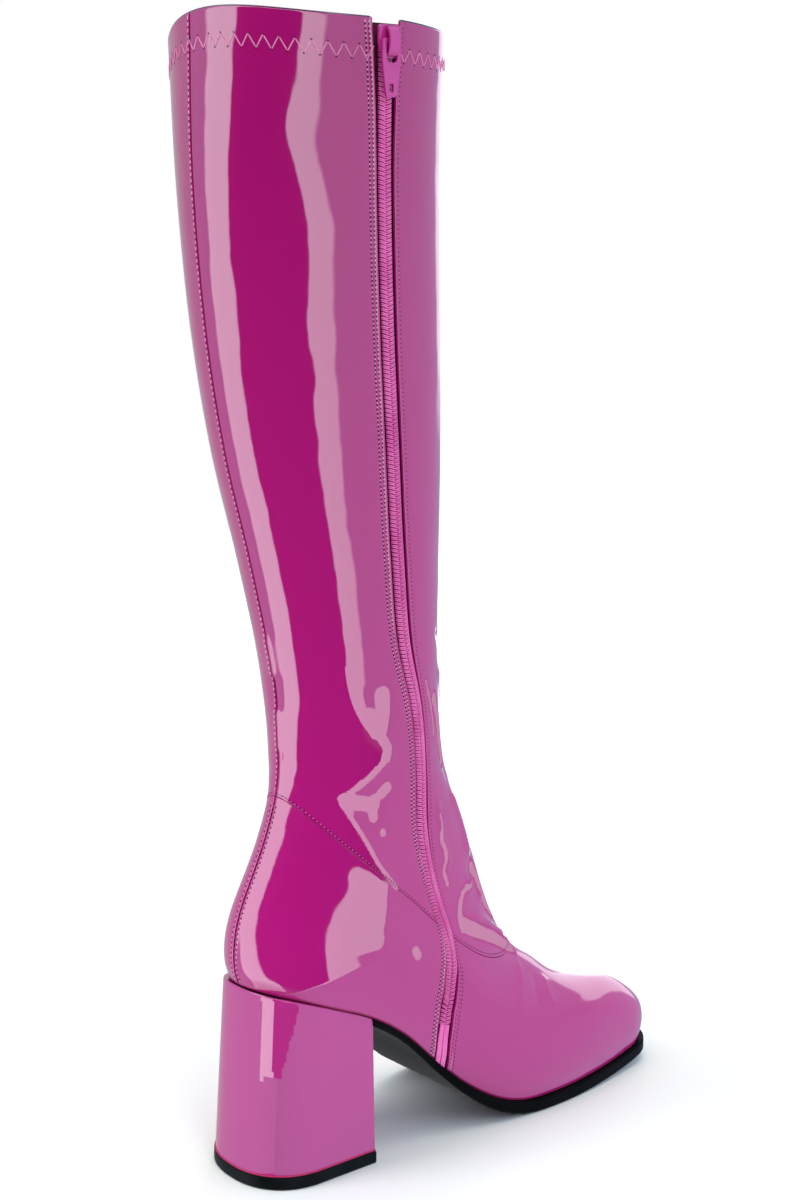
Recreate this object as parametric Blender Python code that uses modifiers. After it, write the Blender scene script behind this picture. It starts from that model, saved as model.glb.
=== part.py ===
"""Knee boot for the left foot: patent upper and shaft on a last, inner side zip, block heel.

The frame is +X to the toe, +Y to the outer side, -Y to the zip, +Z up. The origin is the middle of the
heel's underside, on the floor. Every skin comes from one function, ring_points: closed rings from the
feather line (level 0) to the collar (level 1), read from two short tables of sections.
"""
import math

import bmesh
import bpy
import numpy as np
from mathutils import Matrix, Vector

# Driving sizes in metres
FOOT_LENGTH = 0.2390       # back of the seat to the tip of the last, along the floor
BALL_WIDTH = 0.0800
HEEL_HEIGHT = 0.0830       # floor to the back of the seat
COUNTER_HEIGHT = 0.0810    # seat to the ankle seam, at the back
TOE_HEIGHT = 0.0420        # height of the vamp over the sole
SHAFT_HEIGHT = 0.3960      # seat to the collar, at the back
COLLAR_LENGTH = 0.1135     # front to back
COLLAR_WIDTH = 0.1180      # side to side
SOLE = 0.0060              # thickness under the forefoot
WAIST_SOLE = 0.0036        # thickness at the heel's breast
SOLE_RIM = 0.0022          # how far the sole stands out round the forefoot
SOLE_EDGE = 0.0008         # bevel round the sole's top and bottom edges
WAIST_RIM = 0.0005         # how far the sole stands out at the waist
TOE_SPRING = 0.0060
HEEL_LENGTH = 0.0555       # of the heel's underside
HEEL_WIDTH = 0.0595        # of the heel's underside
SEAT_WIDTH = 0.0570        # of the heel's top
LIFT = 0.0058              # thickness of the top piece under the heel
LIFT_EDGE = 0.0005         # how far the top piece stands out
LIFT_BEVEL = 0.0006
UPPER_WALL = 0.0020
SHAFT_WALL = 0.0015
HEM_WALL = 0.0022
HEM_HEIGHT = 0.0120
INSOLE = 0.0030
GAP = 0.0003
SLOT = 0.0084              # opening between the two panels beside the zip
SLOT_TOP = 0.0125          # the same at the collar
TAPE_WIDTH = 0.0220
TAPE = 0.0007
COIL_WIDTH = 0.0058
COIL_PROUD = 0.0006        # how far the coil stands out of the skin
SLIDER_LENGTH = 0.0123
SLIDER_WIDTH = 0.0100
SLIDER_PLATE = 0.0014
SLIDER_DROP = 0.0085       # collar edge to the middle of the slider
PLATE_CORNER = 0.0018
CROWN_WIDTH = 0.0042
CROWN = 0.0011             # thickness of the slider's bridge
CROWN_INSET = 0.0005       # bridge ends short of the plate's
CROWN_SINK = 0.0003        # how deep the bridge is sunk into the plate
BRIDGE_RISE = 0.0038       # height of the bridge over the plate
PULL_LENGTH = 0.0216
PULL_WIDTH = 0.0086
PULL_TIP = 0.0046
PULL = 0.0012              # thickness of the tab and of its crossbar
PULL_CORNER = 0.0012
PULL_WINDOW = 0.0083       # crossbar's middle to the window's lower end
WINDOW_CORNER = 0.0006     # at the window's upper corners
WINDOW_ROUND = 0.0022      # at its lower corners
PULL_BAR = 0.0013          # height of the crossbar
PULL_SIDE = 0.0017         # width of the bars beside the window
PULL_SLOT = 0.0020         # width of the small slot near the tip
PULL_SLOT_LENGTH = 0.0032
PULL_SLOT_MARGIN = 0.0018  # tip to the slot
PULL_SLOT_CORNER = 0.0004
PULL_CLEAR = 0.0004        # crossbar over the plate
PULL_TILT = math.radians(1.5)
PIVOT_RISE = 0.0004        # crossbar over the slider's middle
COIL_EDGE = 0.0009         # rounding of the coil's edges
ZIP_MARGIN = 0.0012        # coil over the sole, at the zip's lower end
ZIP_TOP = 0.985            # level of the zip's upper end
SKIN_GAP = 0.0005          # upper over the sole and the heel
SEAM_GAP = 0.0004          # between the upper and the shaft
SHARP_ANGLE = math.radians(35)

SEAT_BACK = -0.0240        # X of the back of the seat
BREAST = 0.0270            # X of the heel's flat front
LEG = 0.0640               # X of the line of the leg, from the back of the seat
SEAT_POWER = 2.3           # squareness of the heel's round back
SAG_POWER = 3.0            # squareness of the sag of a ring's two sides
ARCH_POWER = 0.7           # squareness of the slider's bridge, 1 is round
LEDGE_RUN = 0.30           # share of the foot over which the sole's ledge grows out
SHIELD_WAIST = 0.20        # where the slider's plate starts to narrow, share of its half length
SHIELD_FOOT = 0.62         # width of the plate's lower end, share of its width
FLARE_LEVEL = 0.90         # level where the slot beside the zip starts to widen
EDGE_LEVEL = 0.97          # level where steps near the collar are measured
PROBE_LEVEL = 0.004        # step of level and step along a ring for reading a direction
PROBE = 0.001

# The last's side: station (share of the foot), rise (share of the drop from seat to ball)
SEAT = [
    (0.000, 1.000), (0.067, 0.945), (0.142, 0.860), (0.211, 0.765), (0.300, 0.585), (0.380, 0.350),
    (0.440, 0.190), (0.500, 0.075), (0.560, 0.014), (0.600, 0.000), (0.800, 0.000), (1.000, 0.000)]

# Toe spring: station, share of the spring
SPRING = [(0.00, 0.00), (0.60, 0.00), (0.69, 0.00), (0.80, 0.18), (0.90, 0.50), (1.00, 1.00)]

# The last's plan: station, middle (share of the ball, + outward), half width (share of the ball)
PLAN = [
    (0.000, 0.000, 0.359), (0.067, 0.000, 0.360), (0.213, 0.000, 0.362), (0.289, 0.012, 0.352),
    (0.351, 0.025, 0.362), (0.414, 0.032, 0.393), (0.477, 0.035, 0.439), (0.561, 0.032, 0.474),
    (0.623, 0.028, 0.481), (0.707, 0.020, 0.464), (0.791, 0.012, 0.427), (0.874, 0.004, 0.376),
    (0.937, -0.004, 0.329), (1.000, -0.008, 0.281)]

# Sections of the foot. Back, front and the two roundings are shares of the foot's length, width of the
# ball, back_rise and dip of the counter, front_rise of the toe. Follow is how much the ring keeps to the
# sole's line, plan how much it keeps to the last's plan.
COLUMNS = "level back front width back_round nose_round power back_rise front_rise follow plan dip".split()
FOOT_RINGS = [
    (0.000, 0.004, 0.992, 1.000, 0.134, 0.084, 2.6, 0.000, 0.000, 1.00, 1.00, 0.000),
    (0.030, -0.004, 1.008, 1.038, 0.142, 0.100, 2.5, 0.074, 0.190, 1.00, 1.00, 0.000),
    (0.060, -0.006, 1.004, 1.044, 0.146, 0.117, 2.4, 0.148, 0.369, 1.00, 1.00, 0.000),
    (0.090, -0.004, 0.975, 1.025, 0.151, 0.151, 2.2, 0.235, 0.548, 1.00, 1.00, 0.000),
    (0.125, 0.004, 0.929, 0.975, 0.155, 0.209, 2.1, 0.346, 0.714, 1.00, 0.98, 0.000),
    (0.160, 0.017, 0.858, 0.913, 0.159, 0.259, 2.0, 0.457, 0.845, 1.00, 0.90, 0.012),
    (0.200, 0.038, 0.782, 0.850, 0.159, 0.301, 2.0, 0.605, 0.929, 0.95, 0.75, 0.040),
    (0.245, 0.063, 0.715, 0.800, 0.159, 0.326, 2.0, 0.790, 1.020, 0.85, 0.50, 0.110),
    (0.290, 0.086, 0.648, 0.763, 0.159, 0.335, 2.0, 1.000, 0.667, 0.50, 0.30, 0.180)]

# Sections of the leg. Back and front are shares of the collar's length on either side of the leg's line,
# roundings of the collar's length, width of the collar's width, rises and dip of the shaft's height.
LEG_RINGS = [
    (0.330, -0.370, 0.672, 0.508, 0.335, 0.670, 2.0, 0.230, 0.080, 0.28, 0.10, 0.031),
    (0.370, -0.370, 0.555, 0.508, 0.335, 0.581, 2.0, 0.251, 0.129, 0.10, 0.00, 0.023),
    (0.410, -0.374, 0.415, 0.525, 0.335, 0.441, 2.0, 0.278, 0.199, 0.00, 0.00, 0.013),
    (0.460, -0.383, 0.348, 0.593, 0.352, 0.379, 2.0, 0.315, 0.273, 0.00, 0.00, 0.005),
    (0.520, -0.414, 0.335, 0.619, 0.370, 0.379, 2.0, 0.364, 0.354, 0.00, 0.00, 0.000),
    (0.600, -0.489, 0.331, 0.669, 0.405, 0.405, 2.0, 0.455, 0.457, 0.00, 0.00, 0.000),
    (0.700, -0.595, 0.335, 0.729, 0.458, 0.458, 2.0, 0.571, 0.578, 0.00, 0.00, 0.000),
    (0.800, -0.670, 0.326, 0.797, 0.493, 0.493, 2.0, 0.699, 0.707, 0.00, 0.00, 0.000),
    (0.900, -0.714, 0.304, 0.864, 0.511, 0.511, 2.0, 0.848, 0.855, 0.00, 0.00, 0.010),
    (1.000, -0.718, 0.282, 1.000, 0.507, 0.502, 2.0, 1.002, 1.020, 0.00, 0.00, 0.0235)]
SEAM_LEVEL = 0.290         # the ankle seam between the upper and the shaft

# The zip's middle: level, distance from the back of the seat (share of the foot)
ZIP_LINE = [
    (0.000, 0.379), (0.060, 0.382), (0.110, 0.393), (0.160, 0.405), (0.200, 0.410), (0.245, 0.409),
    (0.290, 0.397), (0.330, 0.356), (0.370, 0.331), (0.410, 0.327), (0.460, 0.302), (0.520, 0.265),
    (0.600, 0.238), (0.700, 0.214), (0.800, 0.189), (0.900, 0.170), (1.000, 0.146)]

RING_STEPS = 480           # fine points round a ring, before the columns are set out
COLUMN_COUNT = 52
PLAN_STEPS = 400           # fine points along the feather line
SOLE_ROWS = 42
INSOLE_ROWS = 30
UPPER_LEVELS = [0.0, 0.015, 0.035, 0.06, 0.08, 0.10, 0.125, 0.15, 0.175, 0.20, 0.23, 0.26]
SHAFT_LEVELS = [0.32, 0.35, 0.38, 0.41, 0.44, 0.48, 0.52, 0.57, 0.63, 0.70, 0.77, 0.84, 0.90, 0.945]


def clear_scene():
    for item in list(bpy.data.objects):
        bpy.data.objects.remove(item, do_unlink=True)


def make_collection(name):
    collection = bpy.data.collections.new(name)
    bpy.context.scene.collection.children.link(collection)
    return collection


def make_material(name, colour, roughness, metallic=0.0):
    material = bpy.data.materials.new(name)
    material.use_nodes = True
    shader = material.node_tree.nodes["Principled BSDF"]
    shader.inputs["Base Color"].default_value = (*colour, 1.0)
    shader.inputs["Roughness"].default_value = roughness
    shader.inputs["Metallic"].default_value = metallic
    return material


def read_table(table, place):
    """A smooth curve through a table's rows: every column but the first, at the given places."""
    rows = np.array(table, float)
    knots = rows[:, 0]
    values = rows[:, 1:]
    step = (knots[1:] - knots[:-1])[:, None]
    chord = (values[1:] - values[:-1]) / step
    slope = np.zeros_like(values)
    slope[1:-1] = (chord[1:] * step[:-1] + chord[:-1] * step[1:]) / (step[1:] + step[:-1])
    slope[0] = chord[0]
    slope[-1] = chord[-1]
    place = np.clip(np.asarray(place, float), knots[0], knots[-1])
    row = np.clip(np.searchsorted(knots, place, side="right") - 1, 0, len(knots) - 2)
    width = knots[row + 1] - knots[row]
    t = ((place - knots[row]) / width)[..., None]
    width = width[..., None]
    start = (2 * t**3 - 3 * t**2 + 1) * values[row] + (t**3 - 2 * t**2 + t) * width * slope[row]
    end = (3 * t**2 - 2 * t**3) * values[row + 1] + (t**3 - t**2) * width * slope[row + 1]
    return start + end


def ring_table():
    """Both tables of sections in metres, with back and front measured from the back of the seat."""
    foot = np.array(FOOT_RINGS, float)
    for column in (1, 2, 4, 5):
        foot[:, column] *= FOOT_LENGTH
    foot[:, 3] *= BALL_WIDTH
    foot[:, 7] *= COUNTER_HEIGHT
    foot[:, 8] *= TOE_HEIGHT
    foot[:, 11] *= COUNTER_HEIGHT
    leg = np.array(LEG_RINGS, float)
    for column in (1, 2, 4, 5):
        leg[:, column] *= COLLAR_LENGTH
    leg[:, 1:3] += LEG
    leg[:, 3] *= COLLAR_WIDTH
    for column in (7, 8, 11):
        leg[:, column] *= SHAFT_HEIGHT
    return np.concatenate([foot, leg])


RINGS = ring_table()


def sole_top(x):
    """Height of the sole's top at X."""
    station = (np.asarray(x, float) - SEAT_BACK) / FOOT_LENGTH
    rise = np.maximum(read_table(SEAT, station)[..., 0], 0.0)
    spring = np.maximum(read_table(SPRING, station)[..., 0], 0.0)
    return SOLE + (HEEL_HEIGHT - SOLE) * rise + TOE_SPRING * spring


def end_caps(share, back, nose, power):
    """Half width along a ring, 0 at both ends: a round back and a nose of the given squareness."""
    behind = np.clip(1 - share / back, 0, 1)
    ahead = np.clip((share - 1 + nose) / nose, 0, 1)
    return np.sqrt(1 - behind**2) * np.maximum(1 - ahead**power, 0) ** (1 / power)


def ring_points(level, share, side, inset=0.0):
    """Points of the skin: share 0 at the back to 1 at the front, side +1 outer or -1 zip side."""
    row = dict(zip(COLUMNS[1:], np.moveaxis(read_table(RINGS, level), -1, 0)))
    back = row["back"] + inset
    length = row["front"] - inset - back
    x = SEAT_BACK + back + share * length
    plan = read_table(PLAN, (x - SEAT_BACK) / FOOT_LENGTH)
    middle = row["plan"] * plan[..., 0] * BALL_WIDTH
    form = row["plan"] * 2 * plan[..., 1] + 1 - row["plan"]
    caps = end_caps(share, row["back_round"] / length, row["nose_round"] / length, row["power"])
    half = np.maximum(0.5 * row["width"] * form - inset, 0) * caps
    base = row["follow"] * sole_top(x) + (1 - row["follow"]) * HEEL_HEIGHT
    bow = row["dip"] * (1 - np.abs(2 * share - 1) ** SAG_POWER)
    rise = row["back_rise"] + (row["front_rise"] - row["back_rise"]) * share
    return np.stack([x, middle + side * half, base + rise - bow + SKIN_GAP], -1)


def ring_from_zip(level):
    """The ring at a level as a fine line from the zip's middle, round the front and back to the zip."""
    turn = np.linspace(0, 2 * math.pi, RING_STEPS + 1)
    share = (1 - np.cos(turn)) / 2
    side = np.where(turn <= math.pi, -1.0, 1.0)
    points = ring_points(np.full_like(share, level), share, side)
    row = dict(zip(COLUMNS[1:], read_table(RINGS, level)))
    at = (read_table(ZIP_LINE, level)[0] * FOOT_LENGTH - row["back"]) / (row["front"] - row["back"])
    start = math.acos(1 - 2 * at)
    angles = np.linspace(start, start + 2 * math.pi, RING_STEPS + 1) % (2 * math.pi)
    return np.stack([np.interp(angles, turn, points[:, axis]) for axis in range(3)], -1)


def lengths_along(points):
    steps = np.linalg.norm(np.diff(points, axis=0), axis=1)
    return np.concatenate([[0.0], np.cumsum(steps)])


def points_at(points, run, places):
    return np.stack([np.interp(places, run, points[:, axis]) for axis in range(3)], -1)


def slot_half(level):
    """Half the opening beside the zip, wider at the collar."""
    flare = np.clip((level - FLARE_LEVEL) / (1 - FLARE_LEVEL), 0, 1)
    return 0.5 * (SLOT + (SLOT_TOP - SLOT) * flare**2)


def column_line(level, count=COLUMN_COUNT):
    """One row of the skin from the zip's front edge to its back edge, closer where the ring turns."""
    points = ring_from_zip(level)
    run = lengths_along(points)
    heading = np.diff(points[:, :2], axis=0)
    angle = np.unwrap(np.arctan2(heading[:, 1], heading[:, 0]))
    turning = np.concatenate([[0.0], np.cumsum(np.abs(np.diff(angle))), [0.0]])
    turning[-1] = turning[-2]
    weight = run / run[-1] + turning / turning[-1]
    half = slot_half(level)
    ends = np.interp([half, run[-1] - half], run, weight)
    places = np.interp(np.linspace(ends[0], ends[1], count), weight, run)
    return points_at(points, run, places)


def skin_at(level, offset):
    """A point beside the zip's middle (offset + to the front), its outward normal and way up."""
    low = max(level - PROBE_LEVEL, 0.0)
    high = min(level + PROBE_LEVEL, 1.0)
    spots = []
    for at in (low, level, high):
        points = ring_from_zip(at)
        run = lengths_along(points)
        spots.append(points_at(points, run, np.array([offset, offset + PROBE]) % run[-1]))
    up = Vector(spots[2][0] - spots[0][0]).normalized()
    ahead = Vector(spots[1][1] - spots[1][0]).normalized()
    normal = ahead.cross(up).normalized()
    return Vector(spots[1][0]), normal, up


def finish_mesh(name, bm, material, collection, closed=True):
    if closed:
        bmesh.ops.remove_doubles(bm, verts=bm.verts, dist=0.00001)
        bmesh.ops.recalc_face_normals(bm, faces=bm.faces)
    mesh = bpy.data.meshes.new(name)
    bm.to_mesh(mesh)
    bm.free()
    mesh.shade_smooth()
    mesh.set_sharp_from_angle(angle=SHARP_ANGLE)
    mesh.materials.append(material)
    item = bpy.data.objects.new(name, mesh)
    collection.objects.link(item)
    return item


def add_grid(bm, rows, closed=False):
    """Quads between rows of points, each row open or closed. Gives the rows of vertices back."""
    grid = [[bm.verts.new(point) for point in row] for row in rows]
    count = len(grid[0])
    for low, high in zip(grid, grid[1:]):
        for column in range(count if closed else count - 1):
            beside = (column + 1) % count
            bm.faces.new((low[column], low[beside], high[beside], high[column]))
    return grid


def make_shell(name, levels, wall, material, collection, hem_rows=0):
    """A wall of the given thickness inside the skin, open beside the zip, below and above."""
    bm = bmesh.new()
    add_grid(bm, [column_line(level) for level in levels])
    shell = finish_mesh(name, bm, material, collection, closed=False)
    thick = shell.modifiers.new("wall", "SOLIDIFY")
    thick.thickness = max(wall, HEM_WALL) if hem_rows else wall
    thick.offset = -1.0
    thick.use_even_offset = True
    if hem_rows:
        rows = len(levels)
        group = shell.vertex_groups.new(name="wall")
        for vertex in range(rows * COLUMN_COUNT):
            share = 1.0 if vertex // COLUMN_COUNT >= rows - hem_rows else wall / HEM_WALL
            group.add([vertex], share, "REPLACE")
        thick.vertex_group = group.name
    return shell


def level_step(level, distance):
    """The change of level that moves the skin beside the zip by a distance."""
    points = [skin_at(at, 0.0)[0] for at in (level, level + PROBE_LEVEL)]
    return PROBE_LEVEL * distance / (points[1] - points[0]).length


def plan_sides(start, grow):
    """Outer and zip-side edges of the feather line from X start to the toe, grown outward by grow."""
    share = np.linspace(0, 1, PLAN_STEPS)
    outer = ring_points(np.zeros(PLAN_STEPS), share, 1.0, -grow)
    inner = ring_points(np.zeros(PLAN_STEPS), share, -1.0, -grow)
    turn = np.linspace(0, math.pi / 2, SOLE_ROWS)
    x = start + (outer[-1, 0] - start) * np.sin(turn)
    return x, np.interp(x, outer[:, 0], outer[:, 1]), np.interp(x, inner[:, 0], inner[:, 1])


def make_outsole(material, collection):
    """The sole from the heel's breast to the toe: a ledge round the forefoot, close in at the waist."""
    start = BREAST + GAP
    x, wide_outer, wide_inner = plan_sides(start, SOLE_RIM)
    close_outer, close_inner = plan_sides(start, WAIST_RIM)[1:]
    ledge = np.clip((x - start) / (LEDGE_RUN * FOOT_LENGTH), 0, 1)
    ledge = ledge * ledge * (3 - 2 * ledge)
    bm = bmesh.new()
    loops = []
    for row in range(SOLE_ROWS):
        outer = close_outer[row] + (wide_outer[row] - close_outer[row]) * ledge[row]
        inner = close_inner[row] + (wide_inner[row] - close_inner[row]) * ledge[row]
        top = float(sole_top(x[row]))
        drop = WAIST_SOLE + (SOLE - WAIST_SOLE) * float(ledge[row])
        base = top - drop
        middle = 0.5 * (outer + inner)
        half = 0.5 * (outer - inner)
        narrow = max(half - SOLE_EDGE, 0.0)
        back = x[row] - (SOLE_EDGE if row == SOLE_ROWS - 1 else 0.0)
        loops.append([
            (back, middle - narrow, base), (back, middle + narrow, base),
            (x[row], middle + half, base + SOLE_EDGE), (x[row], middle + half, top - SOLE_EDGE),
            (back, middle + narrow, top), (back, middle - narrow, top),
            (x[row], middle - half, top - SOLE_EDGE), (x[row], middle - half, base + SOLE_EDGE)])
    grid = add_grid(bm, loops, closed=True)
    bm.faces.new(grid[0])
    return finish_mesh("outsole", bm, material, collection)


def heel_outline(share, grow=0.0):
    """The heel's plan at a share of its height, from the breast's zip side round the back."""
    back_low = BREAST - HEEL_LENGTH
    back = back_low + (SEAT_BACK - back_low) * share - grow
    half = 0.5 * (HEEL_WIDTH + (SEAT_WIDTH - HEEL_WIDTH) * share) + grow
    depth = 0.5 * HEEL_LENGTH
    turn = np.linspace(0, math.pi / 2, 11)
    x = back + depth * (1 - np.cos(turn) ** (2 / SEAT_POWER))
    y = half * np.sin(turn) ** (2 / SEAT_POWER)
    straight = np.linspace(x[-1], BREAST + grow, 5)[1:]
    x = np.concatenate([x, straight])
    y = np.concatenate([y, np.full(len(straight), half)])
    return np.concatenate([np.stack([x, -y], -1)[::-1], np.stack([x, y], -1)[1:]])


def make_heel(material, collection):
    """The block heel, its top cut to the line of the seat."""
    bm = bmesh.new()
    rows = []
    base = LIFT + GAP
    for share in np.linspace(0, 1, 6):
        line = heel_outline(share)
        top = sole_top(line[:, 0]) - GAP
        rows.append([(x, y, base + (high - base) * share) for (x, y), high in zip(line, top)])
    grid = add_grid(bm, rows, closed=True)
    bm.faces.new(grid[0])
    half_cap(bm, grid[-1])
    return finish_mesh("heel_block", bm, material, collection)


def half_cap(bm, row):
    """Closes an outline whose middle point is the back: quads across, one triangle at the back."""
    count = len(row)
    for low in range(count // 2 - 1):
        bm.faces.new((row[low], row[low + 1], row[count - 2 - low], row[count - 1 - low]))
    middle = count // 2
    bm.faces.new((row[middle - 1], row[middle], row[middle + 1]))


def make_lift(material, collection):
    """The top piece that the heel stands on."""
    bm = bmesh.new()
    low = [(0.0, LIFT_EDGE - LIFT_BEVEL), (LIFT_BEVEL, LIFT_EDGE)]
    high = [(LIFT - LIFT_BEVEL, LIFT_EDGE), (LIFT, LIFT_EDGE - LIFT_BEVEL)]
    rows = [[(x, y, height) for x, y in heel_outline(0.0, grow)] for height, grow in low + high]
    grid = add_grid(bm, rows, closed=True)
    bm.faces.new(grid[0])
    bm.faces.new(grid[-1])
    return finish_mesh("top_lift", bm, material, collection)


def make_insole(material, collection):
    """The footbed inside the upper's wall, along the sole's line from seat to toe."""
    inset = UPPER_WALL + 2 * GAP
    share = (1 - np.cos(np.linspace(0, math.pi, INSOLE_ROWS))) / 2
    outer = ring_points(np.zeros(INSOLE_ROWS), share, 1.0, inset)
    inner = ring_points(np.zeros(INSOLE_ROWS), share, -1.0, inset)
    rise = np.array([0.0, 0.0, INSOLE])
    bm = bmesh.new()
    loops = []
    for left, right in zip(inner, outer):
        loops.append([left, right, right + rise, left + rise])
    add_grid(bm, loops, closed=True)
    return finish_mesh("insole", bm, material, collection)


def make_strip(name, levels, section, material, collection):
    """A strip along the zip: section holds (offset across, height over the skin) round its outline."""
    bm = bmesh.new()
    rows = []
    for level in levels:
        row = []
        for across, height in section:
            point, normal = skin_at(level, across)[:2]
            row.append(point + normal * height)
        rows.append(row)
    grid = add_grid(bm, rows, closed=True)
    bm.faces.new(grid[0])
    bm.faces.new(grid[-1])
    return finish_mesh(name, bm, material, collection)


def zip_levels(first, last):
    inside = [level for level in UPPER_LEVELS + [SEAM_LEVEL] + SHAFT_LEVELS if first < level < last]
    return [first] + inside + [last]


def make_tape(material, collection):
    """The woven band that backs the slot, behind both panels."""
    spots = np.linspace(-0.5 * TAPE_WIDTH, 0.5 * TAPE_WIDTH, 5)
    face = -HEM_WALL - GAP
    section = [(across, face) for across in spots] + [(across, face - TAPE) for across in spots[::-1]]
    first = level_step(0.0, INSOLE + 2 * ZIP_MARGIN)
    return make_strip("zip_tape", zip_levels(first, ZIP_TOP), section, material, collection)


def make_coil(material, collection):
    """The closed rows of coil, as one strip with rounded edges and a groove down its middle."""
    half = 0.5 * COIL_WIDTH
    edge = COIL_EDGE
    section = [
        (-half, -HEM_WALL), (half, -HEM_WALL), (half, COIL_PROUD - edge), (half - edge, COIL_PROUD),
        (0.5 * edge, COIL_PROUD), (0.0, COIL_PROUD - 0.5 * edge), (-0.5 * edge, COIL_PROUD),
        (edge - half, COIL_PROUD), (-half, COIL_PROUD - edge)]
    first = level_step(0.0, ZIP_MARGIN)
    return make_strip("zip_coil", zip_levels(first, ZIP_TOP), section, material, collection)


def slider_frame():
    """The slider's frame on the skin: X to the front across the zip, Y up it, Z out of the skin."""
    point, normal, up = skin_at(1.0 - level_step(EDGE_LEVEL, SLIDER_DROP), 0.0)
    frame = Matrix((up.cross(normal), up, normal)).transposed().to_4x4()
    frame.translation = point
    return frame


def flat_plate(name, outlines, thickness, material, collection):
    """A plate from flat outlines, the first outside and the others holes, centred on its thickness."""
    curve = bpy.data.curves.new(name, "CURVE")
    curve.dimensions = "2D"
    curve.fill_mode = "BOTH"
    curve.extrude = 0.5 * thickness
    for outline in outlines:
        spline = curve.splines.new("POLY")
        spline.points.add(len(outline) - 1)
        for point, (x, y) in zip(spline.points, outline):
            point.co = (x, y, 0.0, 1.0)
        spline.use_cyclic_u = True
    source = bpy.data.objects.new(name, curve)
    collection.objects.link(source)
    graph = bpy.context.evaluated_depsgraph_get()
    mesh = bpy.data.meshes.new_from_object(source.evaluated_get(graph))
    bpy.data.objects.remove(source, do_unlink=True)
    bm = bmesh.new()
    bm.from_mesh(mesh)
    bpy.data.meshes.remove(mesh)
    return finish_mesh(name, bm, material, collection)


def rounded_outline(corners, steps=4):
    """A closed outline of (x, y, reach): each corner is rounded by an arc-like curve of its reach."""
    outline = []
    count = len(corners)
    for index, (x, y, reach) in enumerate(corners):
        corner = Vector((x, y))
        before = Vector(corners[index - 1][:2]) - corner
        after = Vector(corners[(index + 1) % count][:2]) - corner
        start = corner + before.normalized() * min(reach, 0.5 * before.length)
        end = corner + after.normalized() * min(reach, 0.5 * after.length)
        for step in range(steps + 1):
            t = step / steps
            outline.append(start * (1 - t) ** 2 + corner * 2 * t * (1 - t) + end * t * t)
    return [(point.x, point.y) for point in outline]


def bridge_outline(steps=8):
    """The side of the slider's bridge: an arch over the crossbar, its feet sunk into the plate."""
    half = 0.5 * SLIDER_LENGTH - CROWN_INSET
    outer = []
    inner = []
    for step in range(steps + 1):
        turn = math.pi * step / steps
        arch = max(math.sin(turn), 0.0) ** ARCH_POWER
        room = (BRIDGE_RISE - CROWN + CROWN_SINK) * arch
        outer.append((-half * math.cos(turn), BRIDGE_RISE * arch - CROWN_SINK))
        inner.append((-(half - CROWN) * math.cos(turn), room - 2 * CROWN_SINK))
    return outer + inner[::-1]


def make_slider(material, collection, cutters):
    """The slider: a plate over the coil, with a bridge that the pull's crossbar sits under."""
    half = 0.5 * SLIDER_WIDTH
    end = 0.5 * SLIDER_LENGTH
    waist = -SHIELD_WAIST * end
    foot = SHIELD_FOOT * half
    shield = [(-half, end), (half, end), (half, waist), (foot, -end), (-foot, -end), (-half, waist)]
    outline = rounded_outline([(x, y, PLATE_CORNER) for x, y in shield])
    frame = slider_frame()
    height = COIL_PROUD + GAP + 0.5 * SLIDER_PLATE
    slider = flat_plate("zip_slider", [outline], SLIDER_PLATE, material, collection)
    slider.matrix_world = frame @ Matrix.Translation((0.0, 0.0, height))
    bridge = flat_plate("bridge_form", [bridge_outline()], CROWN_WIDTH, material, cutters)
    turn = Matrix(((0, 0, 1), (1, 0, 0), (0, 1, 0))).to_4x4()
    bridge.matrix_world = frame @ Matrix.Translation((0.0, 0.0, height + 0.5 * SLIDER_PLATE)) @ turn
    bridge.hide_render = True
    bridge.display_type = "WIRE"
    union = slider.modifiers.new("bridge", "BOOLEAN")
    union.operation = "UNION"
    union.solver = "EXACT"
    union.object = bridge
    return slider


def pull_pivot():
    """The middle of the pull's crossbar, under the slider's bridge."""
    height = COIL_PROUD + GAP + SLIDER_PLATE + PULL_CLEAR + 0.5 * PULL
    return slider_frame() @ Matrix.Translation((0.0, PIVOT_RISE, height))


def make_pull(material, collection):
    """The pull tab: a tapered plate with a window round the bridge and a small slot near its tip."""
    half = 0.5 * PULL_WIDTH
    tip = 0.5 * PULL_TIP
    bar = 0.5 * PULL_BAR
    end = bar - PULL_LENGTH
    tab = [(-half, bar), (half, bar), (half, -PULL_WINDOW), (tip, end), (-tip, end), (-half, -PULL_WINDOW)]
    open_half = half - PULL_SIDE
    window = [(-open_half, -bar, WINDOW_CORNER), (open_half, -bar, WINDOW_CORNER),
              (open_half, -PULL_WINDOW, WINDOW_ROUND), (-open_half, -PULL_WINDOW, WINDOW_ROUND)]
    low = end + PULL_SLOT_MARGIN
    high = low + PULL_SLOT_LENGTH
    side = 0.5 * PULL_SLOT
    slot = [(-side, high), (side, high), (side, low), (-side, low)]
    outlines = [
        rounded_outline([(x, y, PULL_CORNER) for x, y in tab]), rounded_outline(window),
        rounded_outline([(x, y, PULL_SLOT_CORNER) for x, y in slot], 2)]
    pull = flat_plate("zip_pull", outlines, PULL, material, collection)
    pull.matrix_world = pull_pivot() @ Matrix.Rotation(PULL_TILT, 4, "X")
    return pull


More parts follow.
